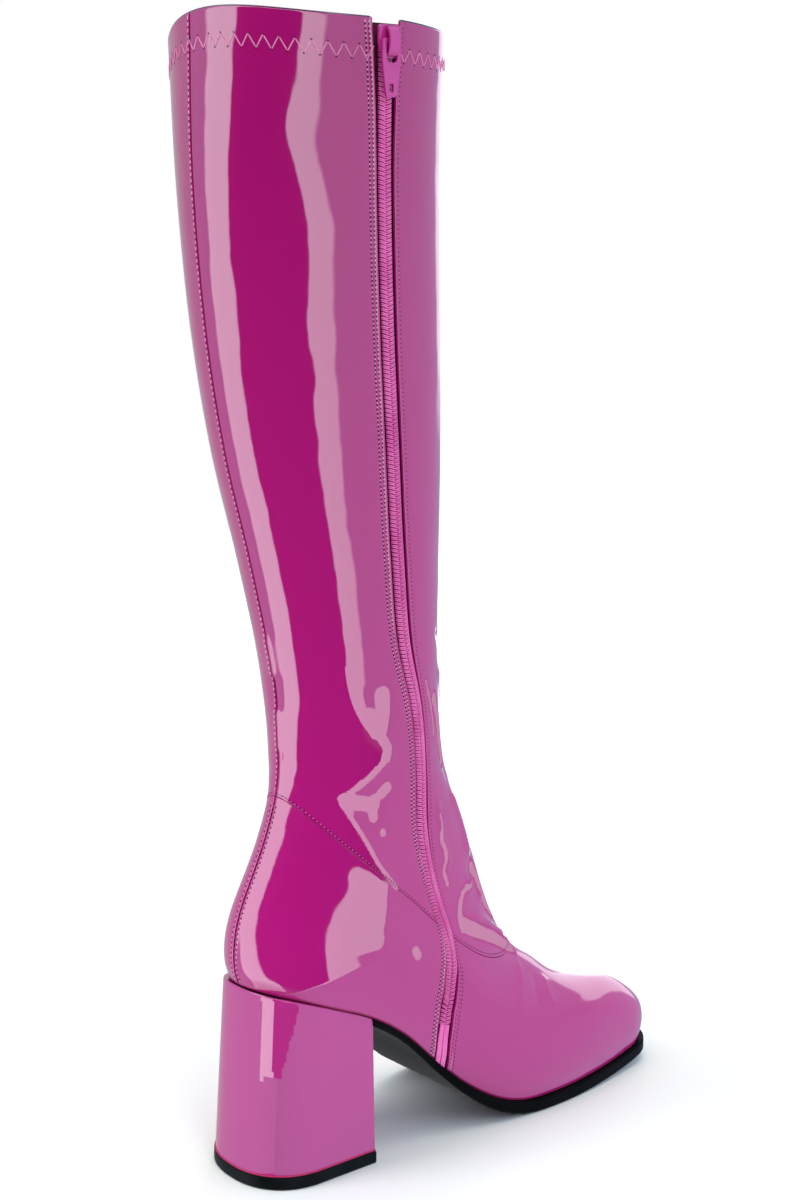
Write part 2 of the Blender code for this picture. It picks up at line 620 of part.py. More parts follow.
def build():
    clear_scene()
    boot = make_collection("knee_boot")
    cutters = make_collection("cutters")
    patent = make_material("patent magenta", (0.42, 0.006, 0.16), 0.08)
    heel_patent = make_material("heel patent magenta", (0.44, 0.010, 0.18), 0.10)
    rubber = make_material("black rubber", (0.008, 0.008, 0.009), 0.25)
    lift_rubber = make_material("black heel rubber", (0.020, 0.021, 0.023), 0.45)
    footbed = make_material("footbed", (0.10, 0.008, 0.045), 0.75)
    weave = make_material("zip tape", (0.16, 0.004, 0.055), 0.85)
    nylon = make_material("zip coil", (0.56, 0.045, 0.28), 0.38)
    enamel = make_material("slider enamel", (0.40, 0.010, 0.17), 0.28, 0.2)
    tab_enamel = make_material("pull enamel", (0.42, 0.012, 0.18), 0.28, 0.2)
    make_outsole(rubber, boot)
    make_heel(heel_patent, boot)
    make_lift(lift_rubber, boot)
    make_insole(footbed, boot)
    make_shell("upper", UPPER_LEVELS + [SEAM_LEVEL], UPPER_WALL, patent, boot)
    seam = SEAM_LEVEL + level_step(SEAM_LEVEL, SEAM_GAP)
    hem = 1.0 - level_step(EDGE_LEVEL, HEM_HEIGHT)
    levels = [seam] + SHAFT_LEVELS + [hem - level_step(EDGE_LEVEL, HEM_WALL), hem, 1.0]
    make_shell("shaft", levels, SHAFT_WALL, patent, boot, hem_rows=2)
    make_tape(weave, boot)
    make_coil(nylon, boot)
    make_slider(enamel, boot, cutters)
    make_pull(tab_enamel, boot)


build()
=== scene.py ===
"""Looks of the knee boot: patent skins with creases, seams, stitches, zip, heel, sole and a pale studio."""

import math

import bpy
import numpy as np
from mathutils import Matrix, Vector


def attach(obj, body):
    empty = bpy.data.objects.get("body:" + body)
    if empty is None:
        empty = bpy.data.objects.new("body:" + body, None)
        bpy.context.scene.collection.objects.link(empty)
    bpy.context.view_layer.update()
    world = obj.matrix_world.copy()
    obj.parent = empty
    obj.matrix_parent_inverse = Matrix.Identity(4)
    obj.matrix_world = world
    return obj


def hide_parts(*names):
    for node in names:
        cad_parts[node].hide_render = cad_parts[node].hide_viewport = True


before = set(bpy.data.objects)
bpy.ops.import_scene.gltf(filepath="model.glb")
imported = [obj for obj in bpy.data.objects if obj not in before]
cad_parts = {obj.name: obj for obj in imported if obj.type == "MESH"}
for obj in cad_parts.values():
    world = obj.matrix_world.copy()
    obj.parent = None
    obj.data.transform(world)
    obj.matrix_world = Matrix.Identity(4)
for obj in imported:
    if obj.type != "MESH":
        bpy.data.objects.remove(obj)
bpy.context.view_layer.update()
MM = 0.001

# Camera, at the photograph's angle: fitted to the heel, sole, seams and collar
CAMERA_AZIMUTH = math.radians(-39.3)
CAMERA_AIM = Vector((0.0655, 0.0, 0.242))
CAMERA_DISTANCE = 0.678
CAMERA_HEIGHT = 0.305
CAMERA_FOCAL = 1506.0 / 1200.0  # focal length as a share of the picture's height
toward_camera = Vector((math.sin(CAMERA_AZIMUTH), -math.cos(CAMERA_AZIMUTH), 0.0))
picture_right = Vector((math.cos(CAMERA_AZIMUTH), math.sin(CAMERA_AZIMUTH), 0.0))

# Driving sizes of the model, in metres
FOOT_LENGTH = 0.2390
BALL_WIDTH = 0.0800
HEEL_HEIGHT = 0.0830
COUNTER_HEIGHT = 0.0810
TOE_HEIGHT = 0.0420
SHAFT_HEIGHT = 0.3960
COLLAR_LENGTH = 0.1135
COLLAR_WIDTH = 0.1180
SOLE = 0.0060
TOE_SPRING = 0.0060
HEEL_LENGTH = 0.0555
HEEL_WIDTH = 0.0595
SEAT_WIDTH = 0.0570
LIFT = 0.0058
LIFT_EDGE = 0.0005
UPPER_WALL = 0.0020
SHAFT_WALL = 0.0015
GAP = 0.0003
SLOT = 0.0084
SLOT_TOP = 0.0125
SKIN_GAP = 0.0005
SEAT_BACK = -0.0240
BREAST = 0.0270
LEG = 0.0640

# Powers and levels of its curves
SEAT_POWER = 2.3
SAG_POWER = 3.0
BREAST_POWER = 2.2
FLARE_LEVEL = 0.90
SEAM_LEVEL = 0.290

# The last's side: station (share of the foot), rise (share of the drop from seat to ball)
SEAT = [
    (0.000, 1.000), (0.067, 0.945), (0.142, 0.860), (0.211, 0.765), (0.300, 0.585), (0.380, 0.350),
    (0.440, 0.190), (0.500, 0.075), (0.560, 0.014), (0.600, 0.000), (0.800, 0.000), (1.000, 0.000)]

# Toe spring: station, share of the spring
SPRING = [(0.00, 0.00), (0.60, 0.00), (0.69, 0.00), (0.80, 0.18), (0.90, 0.50), (1.00, 1.00)]

# The last's plan: station, middle (share of the ball, + outward), half width (share of the ball)
PLAN = [
    (0.000, 0.000, 0.359), (0.067, 0.000, 0.360), (0.213, 0.000, 0.362), (0.289, 0.012, 0.352),
    (0.351, 0.025, 0.362), (0.414, 0.032, 0.393), (0.477, 0.035, 0.439), (0.561, 0.032, 0.474),
    (0.623, 0.028, 0.481), (0.707, 0.020, 0.464), (0.791, 0.012, 0.427), (0.874, 0.004, 0.376),
    (0.937, -0.004, 0.329), (1.000, -0.008, 0.281)]

# Sections of the foot and of the leg, as the model has them
COLUMNS = "level back front width back_round nose_round power back_rise front_rise follow plan dip".split()
FOOT_RINGS = [
    (0.000, 0.004, 0.992, 1.000, 0.134, 0.084, 2.6, 0.000, 0.000, 1.00, 1.00, 0.000),
    (0.030, -0.004, 1.008, 1.038, 0.142, 0.100, 2.5, 0.074, 0.190, 1.00, 1.00, 0.000),
    (0.060, -0.006, 1.004, 1.044, 0.146, 0.117, 2.4, 0.148, 0.369, 1.00, 1.00, 0.000),
    (0.090, -0.004, 0.975, 1.025, 0.151, 0.151, 2.2, 0.235, 0.548, 1.00, 1.00, 0.000),
    (0.125, 0.004, 0.929, 0.975, 0.155, 0.209, 2.1, 0.346, 0.714, 1.00, 0.98, 0.000),
    (0.160, 0.017, 0.858, 0.913, 0.159, 0.259, 2.0, 0.457, 0.845, 1.00, 0.90, 0.012),
    (0.200, 0.038, 0.782, 0.850, 0.159, 0.301, 2.0, 0.605, 0.929, 0.95, 0.75, 0.040),
    (0.245, 0.063, 0.715, 0.800, 0.159, 0.326, 2.0, 0.790, 1.020, 0.85, 0.50, 0.110),
    (0.290, 0.086, 0.648, 0.763, 0.159, 0.335, 2.0, 1.000, 0.667, 0.50, 0.30, 0.180)]
LEG_RINGS = [
    (0.330, -0.370, 0.672, 0.508, 0.335, 0.670, 2.0, 0.230, 0.080, 0.28, 0.10, 0.031),
    (0.370, -0.370, 0.555, 0.508, 0.335, 0.581, 2.0, 0.251, 0.129, 0.10, 0.00, 0.023),
    (0.410, -0.374, 0.415, 0.525, 0.335, 0.441, 2.0, 0.278, 0.199, 0.00, 0.00, 0.013),
    (0.460, -0.383, 0.348, 0.593, 0.352, 0.379, 2.0, 0.315, 0.273, 0.00, 0.00, 0.005),
    (0.520, -0.414, 0.335, 0.619, 0.370, 0.379, 2.0, 0.364, 0.354, 0.00, 0.00, 0.000),
    (0.600, -0.489, 0.331, 0.669, 0.405, 0.405, 2.0, 0.455, 0.457, 0.00, 0.00, 0.000),
    (0.700, -0.595, 0.335, 0.729, 0.458, 0.458, 2.0, 0.571, 0.578, 0.00, 0.00, 0.000),
    (0.800, -0.670, 0.326, 0.797, 0.493, 0.493, 2.0, 0.699, 0.707, 0.00, 0.00, 0.000),
    (0.900, -0.714, 0.304, 0.864, 0.511, 0.511, 2.0, 0.848, 0.855, 0.00, 0.00, 0.010),
    (1.000, -0.718, 0.282, 1.000, 0.507, 0.502, 2.0, 1.002, 1.020, 0.00, 0.00, 0.0235)]

# The zip's middle: level, distance from the back of the seat (share of the foot)
ZIP_LINE = [
    (0.000, 0.379), (0.060, 0.382), (0.110, 0.393), (0.160, 0.405), (0.200, 0.410), (0.245, 0.409),
    (0.290, 0.397), (0.330, 0.356), (0.370, 0.331), (0.410, 0.327), (0.460, 0.302), (0.520, 0.265),
    (0.600, 0.238), (0.700, 0.214), (0.800, 0.189), (0.900, 0.170), (1.000, 0.146)]

# Grid of the whole skin that everything on it is read from
GRID_LEVELS = 901
GRID_AROUND = 1001


def read_table(table, place):
    """A smooth curve through a table's rows: every column but the first, at the given places."""
    rows = np.array(table, float)
    knots = rows[:, 0]
    values = rows[:, 1:]
    step = (knots[1:] - knots[:-1])[:, None]
    chord = (values[1:] - values[:-1]) / step
    slope = np.zeros_like(values)
    slope[1:-1] = (chord[1:] * step[:-1] + chord[:-1] * step[1:]) / (step[1:] + step[:-1])
    slope[0] = chord[0]
    slope[-1] = chord[-1]
    place = np.clip(np.asarray(place, float), knots[0], knots[-1])
    row = np.clip(np.searchsorted(knots, place, side="right") - 1, 0, len(knots) - 2)
    width = knots[row + 1] - knots[row]
    t = ((place - knots[row]) / width)[..., None]
    width = width[..., None]
    start = (2 * t**3 - 3 * t**2 + 1) * values[row] + (t**3 - 2 * t**2 + t) * width * slope[row]
    end = (3 * t**2 - 2 * t**3) * values[row + 1] + (t**3 - t**2) * width * slope[row + 1]
    return start + end


def ring_table():
    """The sections of foot and leg, their shares turned into metres."""
    foot = np.array(FOOT_RINGS, float)
    foot[:, [1, 2, 4, 5]] *= FOOT_LENGTH
    foot[:, 3] *= BALL_WIDTH
    foot[:, [7, 11]] *= COUNTER_HEIGHT
    foot[:, 8] *= TOE_HEIGHT
    leg = np.array(LEG_RINGS, float)
    leg[:, [1, 2, 4, 5]] *= COLLAR_LENGTH
    leg[:, 1:3] += LEG
    leg[:, 3] *= COLLAR_WIDTH
    leg[:, [7, 8, 11]] *= SHAFT_HEIGHT
    return np.concatenate([foot, leg])


RINGS = ring_table()


def sole_top(x):
    station = (np.asarray(x, float) - SEAT_BACK) / FOOT_LENGTH
    rise = np.maximum(read_table(SEAT, station)[..., 0], 0.0)
    spring = np.maximum(read_table(SPRING, station)[..., 0], 0.0)
    return SOLE + (HEEL_HEIGHT - SOLE) * rise + TOE_SPRING * spring


def end_caps(share, back, nose, power):
    behind = np.clip(1 - share / back, 0, 1)
    ahead = np.clip((share - 1 + nose) / nose, 0, 1)
    return np.sqrt(1 - behind**2) * np.maximum(1 - ahead**power, 0) ** (1 / power)


def ring_points(level, share, side):
    """Points of the skin: share 0 at the back to 1 at the front, side +1 outer or -1 zip side."""
    row = dict(zip(COLUMNS[1:], np.moveaxis(read_table(RINGS, level), -1, 0)))
    length = row["front"] - row["back"]
    x = SEAT_BACK + row["back"] + share * length
    plan = read_table(PLAN, (x - SEAT_BACK) / FOOT_LENGTH)
    middle = row["plan"] * plan[..., 0] * BALL_WIDTH
    form = row["plan"] * 2 * plan[..., 1] + 1 - row["plan"]
    caps = end_caps(share, row["back_round"] / length, row["nose_round"] / length, row["power"])
    half = np.maximum(0.5 * row["width"] * form, 0) * caps
    base = row["follow"] * sole_top(x) + (1 - row["follow"]) * HEEL_HEIGHT
    bow = row["dip"] * (1 - np.abs(2 * share - 1) ** SAG_POWER)
    rise = row["back_rise"] + (row["front_rise"] - row["back_rise"]) * share
    return np.stack([x, middle + side * half, base + rise - bow + SKIN_GAP], -1)


def smooth_step(value, low, high):
    t = np.clip((value - low) / (high - low), 0, 1)
    return t * t * (3 - 2 * t)


def unit(vectors):
    return vectors / np.linalg.norm(vectors, axis=-1, keepdims=True)


def run_along(points):
    """Distance along a line of points, from its first one."""
    return np.concatenate([[0.0], np.cumsum(np.linalg.norm(np.diff(points, axis=0), axis=1))])


def line_at(place, run, points):
    """What a line of points or normals has at places along it."""
    return np.stack([np.interp(place, run, points[:, axis]) for axis in range(3)], -1)


def turn_round(vectors, degrees):
    """Vectors turned about the upright."""
    turn = np.radians(degrees)
    turned = vectors.copy()
    turned[..., 0] = vectors[..., 0] * np.cos(turn) - vectors[..., 1] * np.sin(turn)
    turned[..., 1] = vectors[..., 0] * np.sin(turn) + vectors[..., 1] * np.cos(turn)
    return turned


def slot_half(level):
    """Half the opening beside the zip, wider at the collar."""
    flare = np.clip((level - FLARE_LEVEL) / (1 - FLARE_LEVEL), 0, 1)
    return 0.5 * (SLOT + (SLOT_TOP - SLOT) * flare**2)


class Skin:
    """The whole skin as a grid: rows by level, columns by share of the way round from the zip's middle."""

    def __init__(self):
        self.levels = np.linspace(0, 1, GRID_LEVELS)
        self.base = np.zeros((GRID_LEVELS, GRID_AROUND, 3))
        self.length = np.zeros(GRID_LEVELS)
        self.back = np.zeros(GRID_LEVELS)
        turn = np.linspace(0, 2 * math.pi, GRID_AROUND)
        share = (1 - np.cos(turn)) / 2
        side = np.where(turn <= math.pi, -1.0, 1.0)
        around = np.linspace(0, 1, GRID_AROUND)
        for index, level in enumerate(self.levels):
            ring = ring_points(np.full_like(share, level), share, side)
            row = dict(zip(COLUMNS[1:], read_table(RINGS, level)))
            at = (read_table(ZIP_LINE, level)[0] * FOOT_LENGTH - row["back"]) / (row["front"] - row["back"])
            start = math.acos(1 - 2 * at)
            angles = np.linspace(start, start + 2 * math.pi, GRID_AROUND)
            line = line_at(angles % (2 * math.pi), turn, ring)
            run = run_along(line)
            self.length[index] = run[-1]
            self.back[index] = np.interp(2 * math.pi, angles, run)
            self.base[index] = line_at(around * run[-1], run, line)
        self.points = self.base
        self.base_normals = self.read_normals()
        self.normals = self.base_normals
        self.turned = self.base_normals
        self.held = np.zeros(self.base.shape[:2])

    def read_normals(self):
        """Outward normals of the grid from its neighbours; the last column is the first one again."""
        ahead = np.empty_like(self.points)
        ahead[:, 1:-1] = self.points[:, 2:] - self.points[:, :-2]
        ahead[:, 0] = ahead[:, -1] = self.points[:, 1] - self.points[:, -2]
        normal = np.cross(ahead, np.gradient(self.points, axis=0))
        return normal / np.maximum(np.linalg.norm(normal, axis=-1, keepdims=True), 1e-12)

    def raise_by(self, height):
        self.points = self.base + self.base_normals * height[..., None]
        self.normals = self.read_normals()

    def length_at(self, level):
        return np.interp(level, self.levels, self.length)

    def back_at(self, level):
        return np.interp(level, self.levels, self.back)

    def place(self, level, run):
        """Row and column, with fractions, of levels and distances from the zip's middle."""
        around = (run / self.length_at(level)) % 1.0
        return np.clip(level, 0, 1) * (GRID_LEVELS - 1), around * (GRID_AROUND - 1)

    def light(self, level, run, normals):
        """Normals for the light: the shape's own, shifted, or held to the lay alone where a small face is."""
        spot = tuple(np.rint(value).astype(int) for value in self.place(level, run))
        held = self.held[spot][..., None]
        turned = self.turned[spot]
        return unit((1 - held) * (normals + turned - self.base_normals[spot]) + held * turned)

    def read(self, level, run, depth=0.0):
        """Points and normals at levels and distances from the zip's middle, sunk by depth."""
        level, run, depth = np.broadcast_arrays(level, run, depth)
        row, column = self.place(level, run)
        low_row = np.clip(row.astype(int), 0, GRID_LEVELS - 2)
        low_column = np.clip(column.astype(int), 0, GRID_AROUND - 2)
        part_row = (row - low_row)[..., None]
        part_column = (column - low_column)[..., None]

        def along_row(values, at):
            return values[at, low_column] * (1 - part_column) + values[at, low_column + 1] * part_column

        def blend(values):
            return along_row(values, low_row) * (1 - part_row) + along_row(values, low_row + 1) * part_row

        normal = unit(blend(self.normals))
        return blend(self.points) - normal * depth[..., None], normal

    def step(self, level, distance):
        """The change of level that moves the skin beside the zip by a distance."""
        probe = 0.004
        low, high = self.read(np.array([level - probe, level]), 0.0)[0]
        return probe * distance / np.linalg.norm(high - low)


skin = Skin()

ZIP_SIDE_EDGE = 0.35  # outward part of a normal at which the zip's side ends
FOLD_REACH = 5.0  # widths to either side of a crest in which a fold is felt
FOLD_CROWN = 0.5  # roundness of its crest, in mm
FOLD_ENDS = (-0.02, 0.18)  # shares of its length in which it rises
FOLD_RIM = (0.0, 0.35)  # and the outward part left to the edge of the zip's side in which it fades

# Folds of the soft patent on the zip side: height and width in mm, then (X, Z) in mm along the crest
FOLDS = [
    (1.0, 5.0, [(18, 212), (21, 196), (28, 187), (33, 181), (30, 175), (23, 169), (17, 165), (13, 162)]),
    (1.3, 4.5, [(13, 162), (17, 154), (24, 143), (31, 131), (41, 120)]),
    (0.8, 3.0, [(66, 158), (66, 149), (68, 140), (71, 131), (73, 120)]),
    (1.6, 5.0, [(78, 157), (84, 146), (89, 133), (92, 121)]),
    (1.3, 3.5, [(86, 110), (94, 112), (99, 106), (97, 99)]),
    (1.5, 3.2, [(88, 96), (100, 92), (112, 84), (124, 77)]),
    (-0.9, 4.0, [(70, 172), (76, 166), (80, 160)]),
    (-0.8, 3.5, [(88, 116), (98, 113)]),
    (0.8, 4.0, [(66, 214), (71, 206), (73, 196)]),
    (-0.7, 4.0, [(62, 232), (69, 224), (73, 214)]),
    (0.7, 4.0, [(-9, 232), (-8, 222), (-6, 212)]),
    (0.7, 3.5, [(-5, 200), (-3, 190), (-3, 180)]),
    (-0.6, 3.5, [(-8, 214), (-5, 206), (-3, 198)]),
    (0.5, 5.0, [(128, 66), (120, 54), (112, 44)]),
    (-0.5, 5.0, [(136, 58), (127, 46)]),
    (0.5, 5.0, [(144, 55), (138, 44)]),
]


class ZipSide:
    """The half of the skin that faces the zip's side, for placing things by X and Z."""

    def __init__(self):
        self.rows, self.columns = np.nonzero(skin.base_normals[..., 1] < ZIP_SIDE_EDGE)
        self.points = skin.base[self.rows, self.columns] / MM
        self.normals = skin.base_normals[self.rows, self.columns]

    def spots(self, line):
        found = []
        for x, z in line:
            gap = (self.points[:, 0] - x) ** 2 + (self.points[:, 2] - z) ** 2
            found.append(self.points[np.argmin(gap)])
        return np.array(found)

    def near(self, line, reach):
        """Places of the grid near a line of spots, with distance, side (+ behind it) and share along it."""
        inside = (self.points > line.min(0) - reach) & (self.points < line.max(0) + reach)
        index = np.nonzero(np.all(inside, axis=1))[0]
        points = self.points[index]
        normals = self.normals[index]
        steps = np.linalg.norm(np.diff(line, axis=0), axis=1)
        start = np.concatenate([[0.0], np.cumsum(steps)])
        best = np.full(len(index), np.inf)
        side = np.zeros(len(index))
        along = np.zeros(len(index))
        for number, step in enumerate(steps):
            direction = (line[number + 1] - line[number]) / step
            offset = points - line[number]
            t = np.clip(offset @ direction, 0, step)
            gap = offset - t[:, None] * direction
            distance = np.linalg.norm(gap, axis=1)
            nearer = distance < best - 1e-6
            best = np.where(nearer, distance, best)
            turn = np.einsum("ij,ij->i", np.cross(normals, direction), gap)
            side = np.where(nearer, np.sign(turn), side)
            along = np.where(nearer, (start[number] + t) / start[-1], along)
        return (self.rows[index], self.columns[index]), best, side, along


def smooth_line(spots, count):
    """A rounded line through the spots."""
    place = np.linspace(0, 1, len(spots))
    rows = np.concatenate([place[:, None], spots], 1)
    return read_table(rows, np.linspace(0, 1, count))


zip_side = ZipSide()


def raise_folds():
    height = np.zeros(skin.base.shape[:2])
    for fold_height, fold_width, crest in FOLDS:
        line = smooth_line(zip_side.spots(crest), 24)
        where, distance, side, along = zip_side.near(line, FOLD_REACH * fold_width)
        ends = smooth_step(along, *FOLD_ENDS) * smooth_step(1 - along, *FOLD_ENDS)
        ends = ends * smooth_step(ZIP_SIDE_EDGE - 0.02 - skin.base_normals[where][:, 1], *FOLD_RIM)
        fall = np.exp(-(np.sqrt(distance**2 + FOLD_CROWN**2) - FOLD_CROWN) / (0.5 * fold_width))
        height[where] += fold_height * ends * fall * MM
    height[:, -1] = height[:, 0] = 0.5 * (height[:, -1] + height[:, 0])
    skin.raise_by(height)


raise_folds()

# Lay of the patent: how far faces stand round from the picture's view, as the sections give it and as
# it catches the light
COUNTER_LAY = [
    (-180, -180), (-75, -75), (-50, -50), (-38, -42), (-8, -28), (29, 9), (43, 18), (52, 38), (75, 75),
    (180, 180)]
COLLAR_LAY = [(-180, -180), (-60, -60), (-26, -26), (-1, 9), (9, 19), (45, 45), (180, 180)]
ANKLE_LAY = [(-180, -180), (-5, -5), (5, 2), (60, 8), (180, 180)]
ANKLE_EDGE = [(17, 222), (18, 209), (21, 196), (28, 187), (33, 181), (30, 175), (23, 169), (17, 165),
              (13, 162), (17, 154), (24, 143), (31, 131), (41, 119)]
GLINT_LAY = 12.5  # lay of the small faces, which catches a light of the studio
GLINT_HOLD = 0.85  # how far they leave the folds' own normals out
GLINT_EDGE = (0.0, 0.35)  # where they fade, as shares of their half width

# Small faces on the zip's side: half width in mm, then (X, Z) in mm along their middle
GLINTS = [
    (4.6, [(27.5, 207), (28.2, 199), (28, 192)]),
    (3.4, [(14.5, 218), (15.5, 212), (17.5, 204), (21, 197), (26, 190)]),
    (3.6, [(22, 199), (27, 194)]),
    (3.2, [(28, 189), (32.3, 183), (32, 178)]),
    (2.1, [(32, 178), (26, 171.8), (20, 167.6)]),
    (1.4, [(20, 167.5), (13, 162.5)]),
    (4.0, [(15.5, 160.5), (21, 160), (27, 158.5)]),
    (3.4, [(31, 163.5), (33.5, 165.5)]),
    (2.8, [(26, 158), (27.2, 152.8)]),
    (2.0, [(32, 146.6), (32.2, 145.2)]),
    (2.4, [(14.5, 161), (17, 155.5)]),
    (1.5, [(17, 155), (24, 143), (31, 131), (41, 119.5)]),
    (2.8, [(53.5, 88.4), (55, 85.6)]),
    (6.0, [(30.5, 119), (30.5, 108), (29.5, 100)]),
    (5.0, [(18, 99), (31, 98)]),
    (5.5, [(25, 120), (24, 110), (22, 102)]),
    (2.6, [(25, 160), (31, 163)]),
    (1.8, [(66.5, 149), (68.3, 143), (67, 137), (70.8, 129), (69, 122), (72, 115)]),
    (1.3, [(53, 210), (57, 200), (60, 192), (62, 184)]),
    (4.0, [(61, 201), (66, 192), (69, 182), (73, 171)]),
    (2.8, [(90, 110), (84, 109), (80.5, 103), (80.5, 97), (82, 92)]),
    (4.6, [(83, 94), (91, 89.5), (104, 83), (117, 76), (127, 70.5)]),
    (5.0, [(94, 118), (99, 109), (105, 100), (112, 92)]),
]

BACK_CLEAR = 0.004  # share of the way round, from the back seam to the counter's lay
BACK_FADE = (0.0, 0.05)  # and the shares beyond the seam in which it comes in
COUNTER_END = 36.5  # X in mm at which the counter's front light ends
END_SOFT = 0.6  # half width of that edge
FLOOR_FROM = -18  # X in mm from which the counter's foot faces the floor
FLOOR_EDGE = [(-16, 82), (-5, 85), (6, 87), (22, 89.5), (37, 92), (55, 92)]
FLOOR_SOFT = (-0.8, 1.2)  # mm under the floor edge in which the floor comes in
PLAIN_LAY = 38.0  # lay that mirrors the plain light of the side
COLLAR_RISE = (0.86, 0.93)  # levels in which the collar's lay comes in
ANKLE_SOFT = (-1.4, 1.4)  # mm across the ankle's edge in which its lay comes in
ANKLE_START = (0.0, 0.16)  # and the shares of the edge's length
ANKLE_FADE = 22  # distance in mm behind the edge at which it starts to fade
ANKLE_REACH = 34  # and at which it ends


def face_bearing(normals):
    ahead = normals[..., 0] * toward_camera.x + normals[..., 1] * toward_camera.y
    right = normals[..., 0] * picture_right.x + normals[..., 1] * picture_right.y
    return np.degrees(np.arctan2(right, ahead))


def lay_shift(table, bearing):
    """How far a table of lays turns faces of a bearing."""
    return np.interp(bearing, *zip(*table)) - bearing


def turn_faces():
    """Sets the normals that the light sees from the lays and the small faces."""
    bearing = face_bearing(skin.base_normals)
    level = np.broadcast_to(skin.levels[:, None], bearing.shape)
    past_back = np.linspace(0, 1, GRID_AROUND)[None, :] - (skin.back / skin.length)[:, None]
    behind_zip = (past_back > BACK_CLEAR) & (level < SEAM_LEVEL)
    turned = bearing + smooth_step(past_back, *BACK_FADE) * behind_zip * lay_shift(COUNTER_LAY, bearing)
    x = skin.base[..., 0] / MM
    edge = np.interp(x, *zip(*FLOOR_EDGE))
    low = smooth_step(edge - skin.base[..., 2] / MM, *FLOOR_SOFT) * behind_zip * (x > FLOOR_FROM)
    low = np.maximum(low, smooth_step(x, COUNTER_END - END_SOFT, COUNTER_END + END_SOFT) * behind_zip)
    turned = turned + low * (np.maximum(turned, PLAIN_LAY) - turned)
    turned = turned + smooth_step(level, *COLLAR_RISE) * lay_shift(COLLAR_LAY, bearing)
    line = smooth_line(zip_side.spots(ANKLE_EDGE), 60)
    where, distance, side, along = zip_side.near(line, ANKLE_REACH)
    weight = smooth_step(-side * distance, *ANKLE_SOFT) * smooth_step(along, *ANKLE_START)
    weight = weight * smooth_step(-distance, -ANKLE_REACH, -ANKLE_FADE) * (level[where] > SEAM_LEVEL)
    turned[where] += weight * lay_shift(ANKLE_LAY, bearing[where])
    for half_width, spots in GLINTS:
        line = zip_side.spots(spots)
        if len(line) > 2:
            line = smooth_line(line, 20)
        where, distance, side, along = zip_side.near(line, half_width)
        weight = smooth_step(1 - distance / half_width, *GLINT_EDGE)
        turned[where] += weight * (GLINT_LAY - turned[where])
        skin.held[where] = np.maximum(skin.held[where], GLINT_HOLD * weight)
    skin.turned = turn_round(skin.base_normals, turned - bearing)


turn_faces()


def new_object(name, points, faces, materials, body="boot", face_materials=None):
    """A smooth-shaded mesh piece from points and faces, riding on its body."""
    mesh = bpy.data.meshes.new(name)
    mesh.from_pydata([tuple(point) for point in np.reshape(points, (-1, 3))], [], faces)
    for material in materials:
        mesh.materials.append(material)
    if face_materials is not None:
        mesh.polygons.foreach_set("material_index", np.asarray(face_materials, np.int32))
    mesh.validate()
    mesh.update()
    mesh.shade_smooth()
    piece = bpy.data.objects.new(name, mesh)
    bpy.context.scene.collection.objects.link(piece)
    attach(piece, body)
    return piece


# Materials
def fill(tree, node, inputs):
    """Gives each named input its value, or a link where it is another node's output."""
    for key, value in inputs.items():
        if isinstance(value, bpy.types.NodeSocket):
            tree.links.new(value, node.inputs[key])
        else:
            node.inputs[key].default_value = value


def add_node(tree, kind, inputs, output=0, **settings):
    """A new node with its settings and inputs; returns one of its outputs."""
    node = tree.nodes.new(kind)
    for name, value in settings.items():
        setattr(node, name, value)
    fill(tree, node, inputs)
    return node.outputs[output]


def shader_material(name):
    material = bpy.data.materials.new(name)
    material.use_nodes = True
    return material, material.node_tree, material.node_tree.nodes["Principled BSDF"]


def object_place(tree):
    return add_node(tree, "ShaderNodeTexCoord", {}, "Object")


def add_noise(tree, scale, detail=2.0, roughness=0.5):
    inputs = {"Vector": object_place(tree), "Scale": scale, "Detail": detail, "Roughness": roughness}
    return add_node(tree, "ShaderNodeTexNoise", inputs, "Fac")


def add_ramp(tree, factor, stops):
    """A colour ramp through stops of (place, colour)."""
    ramp = tree.nodes.new("ShaderNodeValToRGB")
    elements = ramp.color_ramp.elements
    while len(elements) < len(stops):
        elements.new(0.5)
    for element, (place, colour) in zip(elements, stops):
        element.position = place
        element.color = (*colour, 1.0)
    fill(tree, ramp, {"Fac": factor})
    return ramp.outputs["Color"]


def add_tone(tree, factor, low, high, start=0.35, end=0.65):
    return add_ramp(tree, factor, [(start, low), (end, high)])


def add_bump(tree, height, distance, before=None):
    inputs = {"Height": height, "Distance": distance, "Strength": 1.0}
    if before is not None:
        inputs["Normal"] = before
    return add_node(tree, "ShaderNodeBump", inputs, "Normal")


PEEL = 0.0000012  # height of the patent's orange peel


def make_patent(name, low, high, wave):
    """Patent: a saturated base under a hard clear coat, with soft waves and a fine orange peel; the base is
    lighter low down and darker up the leg, as painted shade.
    """
    material, tree, shader = shader_material(name)
    # Height above the floor, with a little random tone, picks the base colour: lighter at the foot and darker
    # up the leg, a painted shade.
    rise = add_node(tree, "ShaderNodeSeparateXYZ", {0: object_place(tree)}, "Z")
    blend = add_node(tree, "ShaderNodeMath", {0: add_noise(tree, 28.0, 3.0), 1: 0.05, 2: rise},
                     operation="MULTIPLY_ADD")
    soft = add_bump(tree, add_noise(tree, 38.0, 2.0, 0.35), wave)
    normal = add_bump(tree, add_noise(tree, 900.0, 1.0), PEEL, soft)
    fill(tree, shader, {
        "Base Color": add_tone(tree, blend, high, low, 0.12, 0.46), "Roughness": 0.38,
        "Specular IOR Level": 0.03, "Coat Weight": 1.0, "Coat Roughness": 0.035, "Coat IOR": 1.75,
        "Normal": normal, "Coat Normal": normal})
    return material


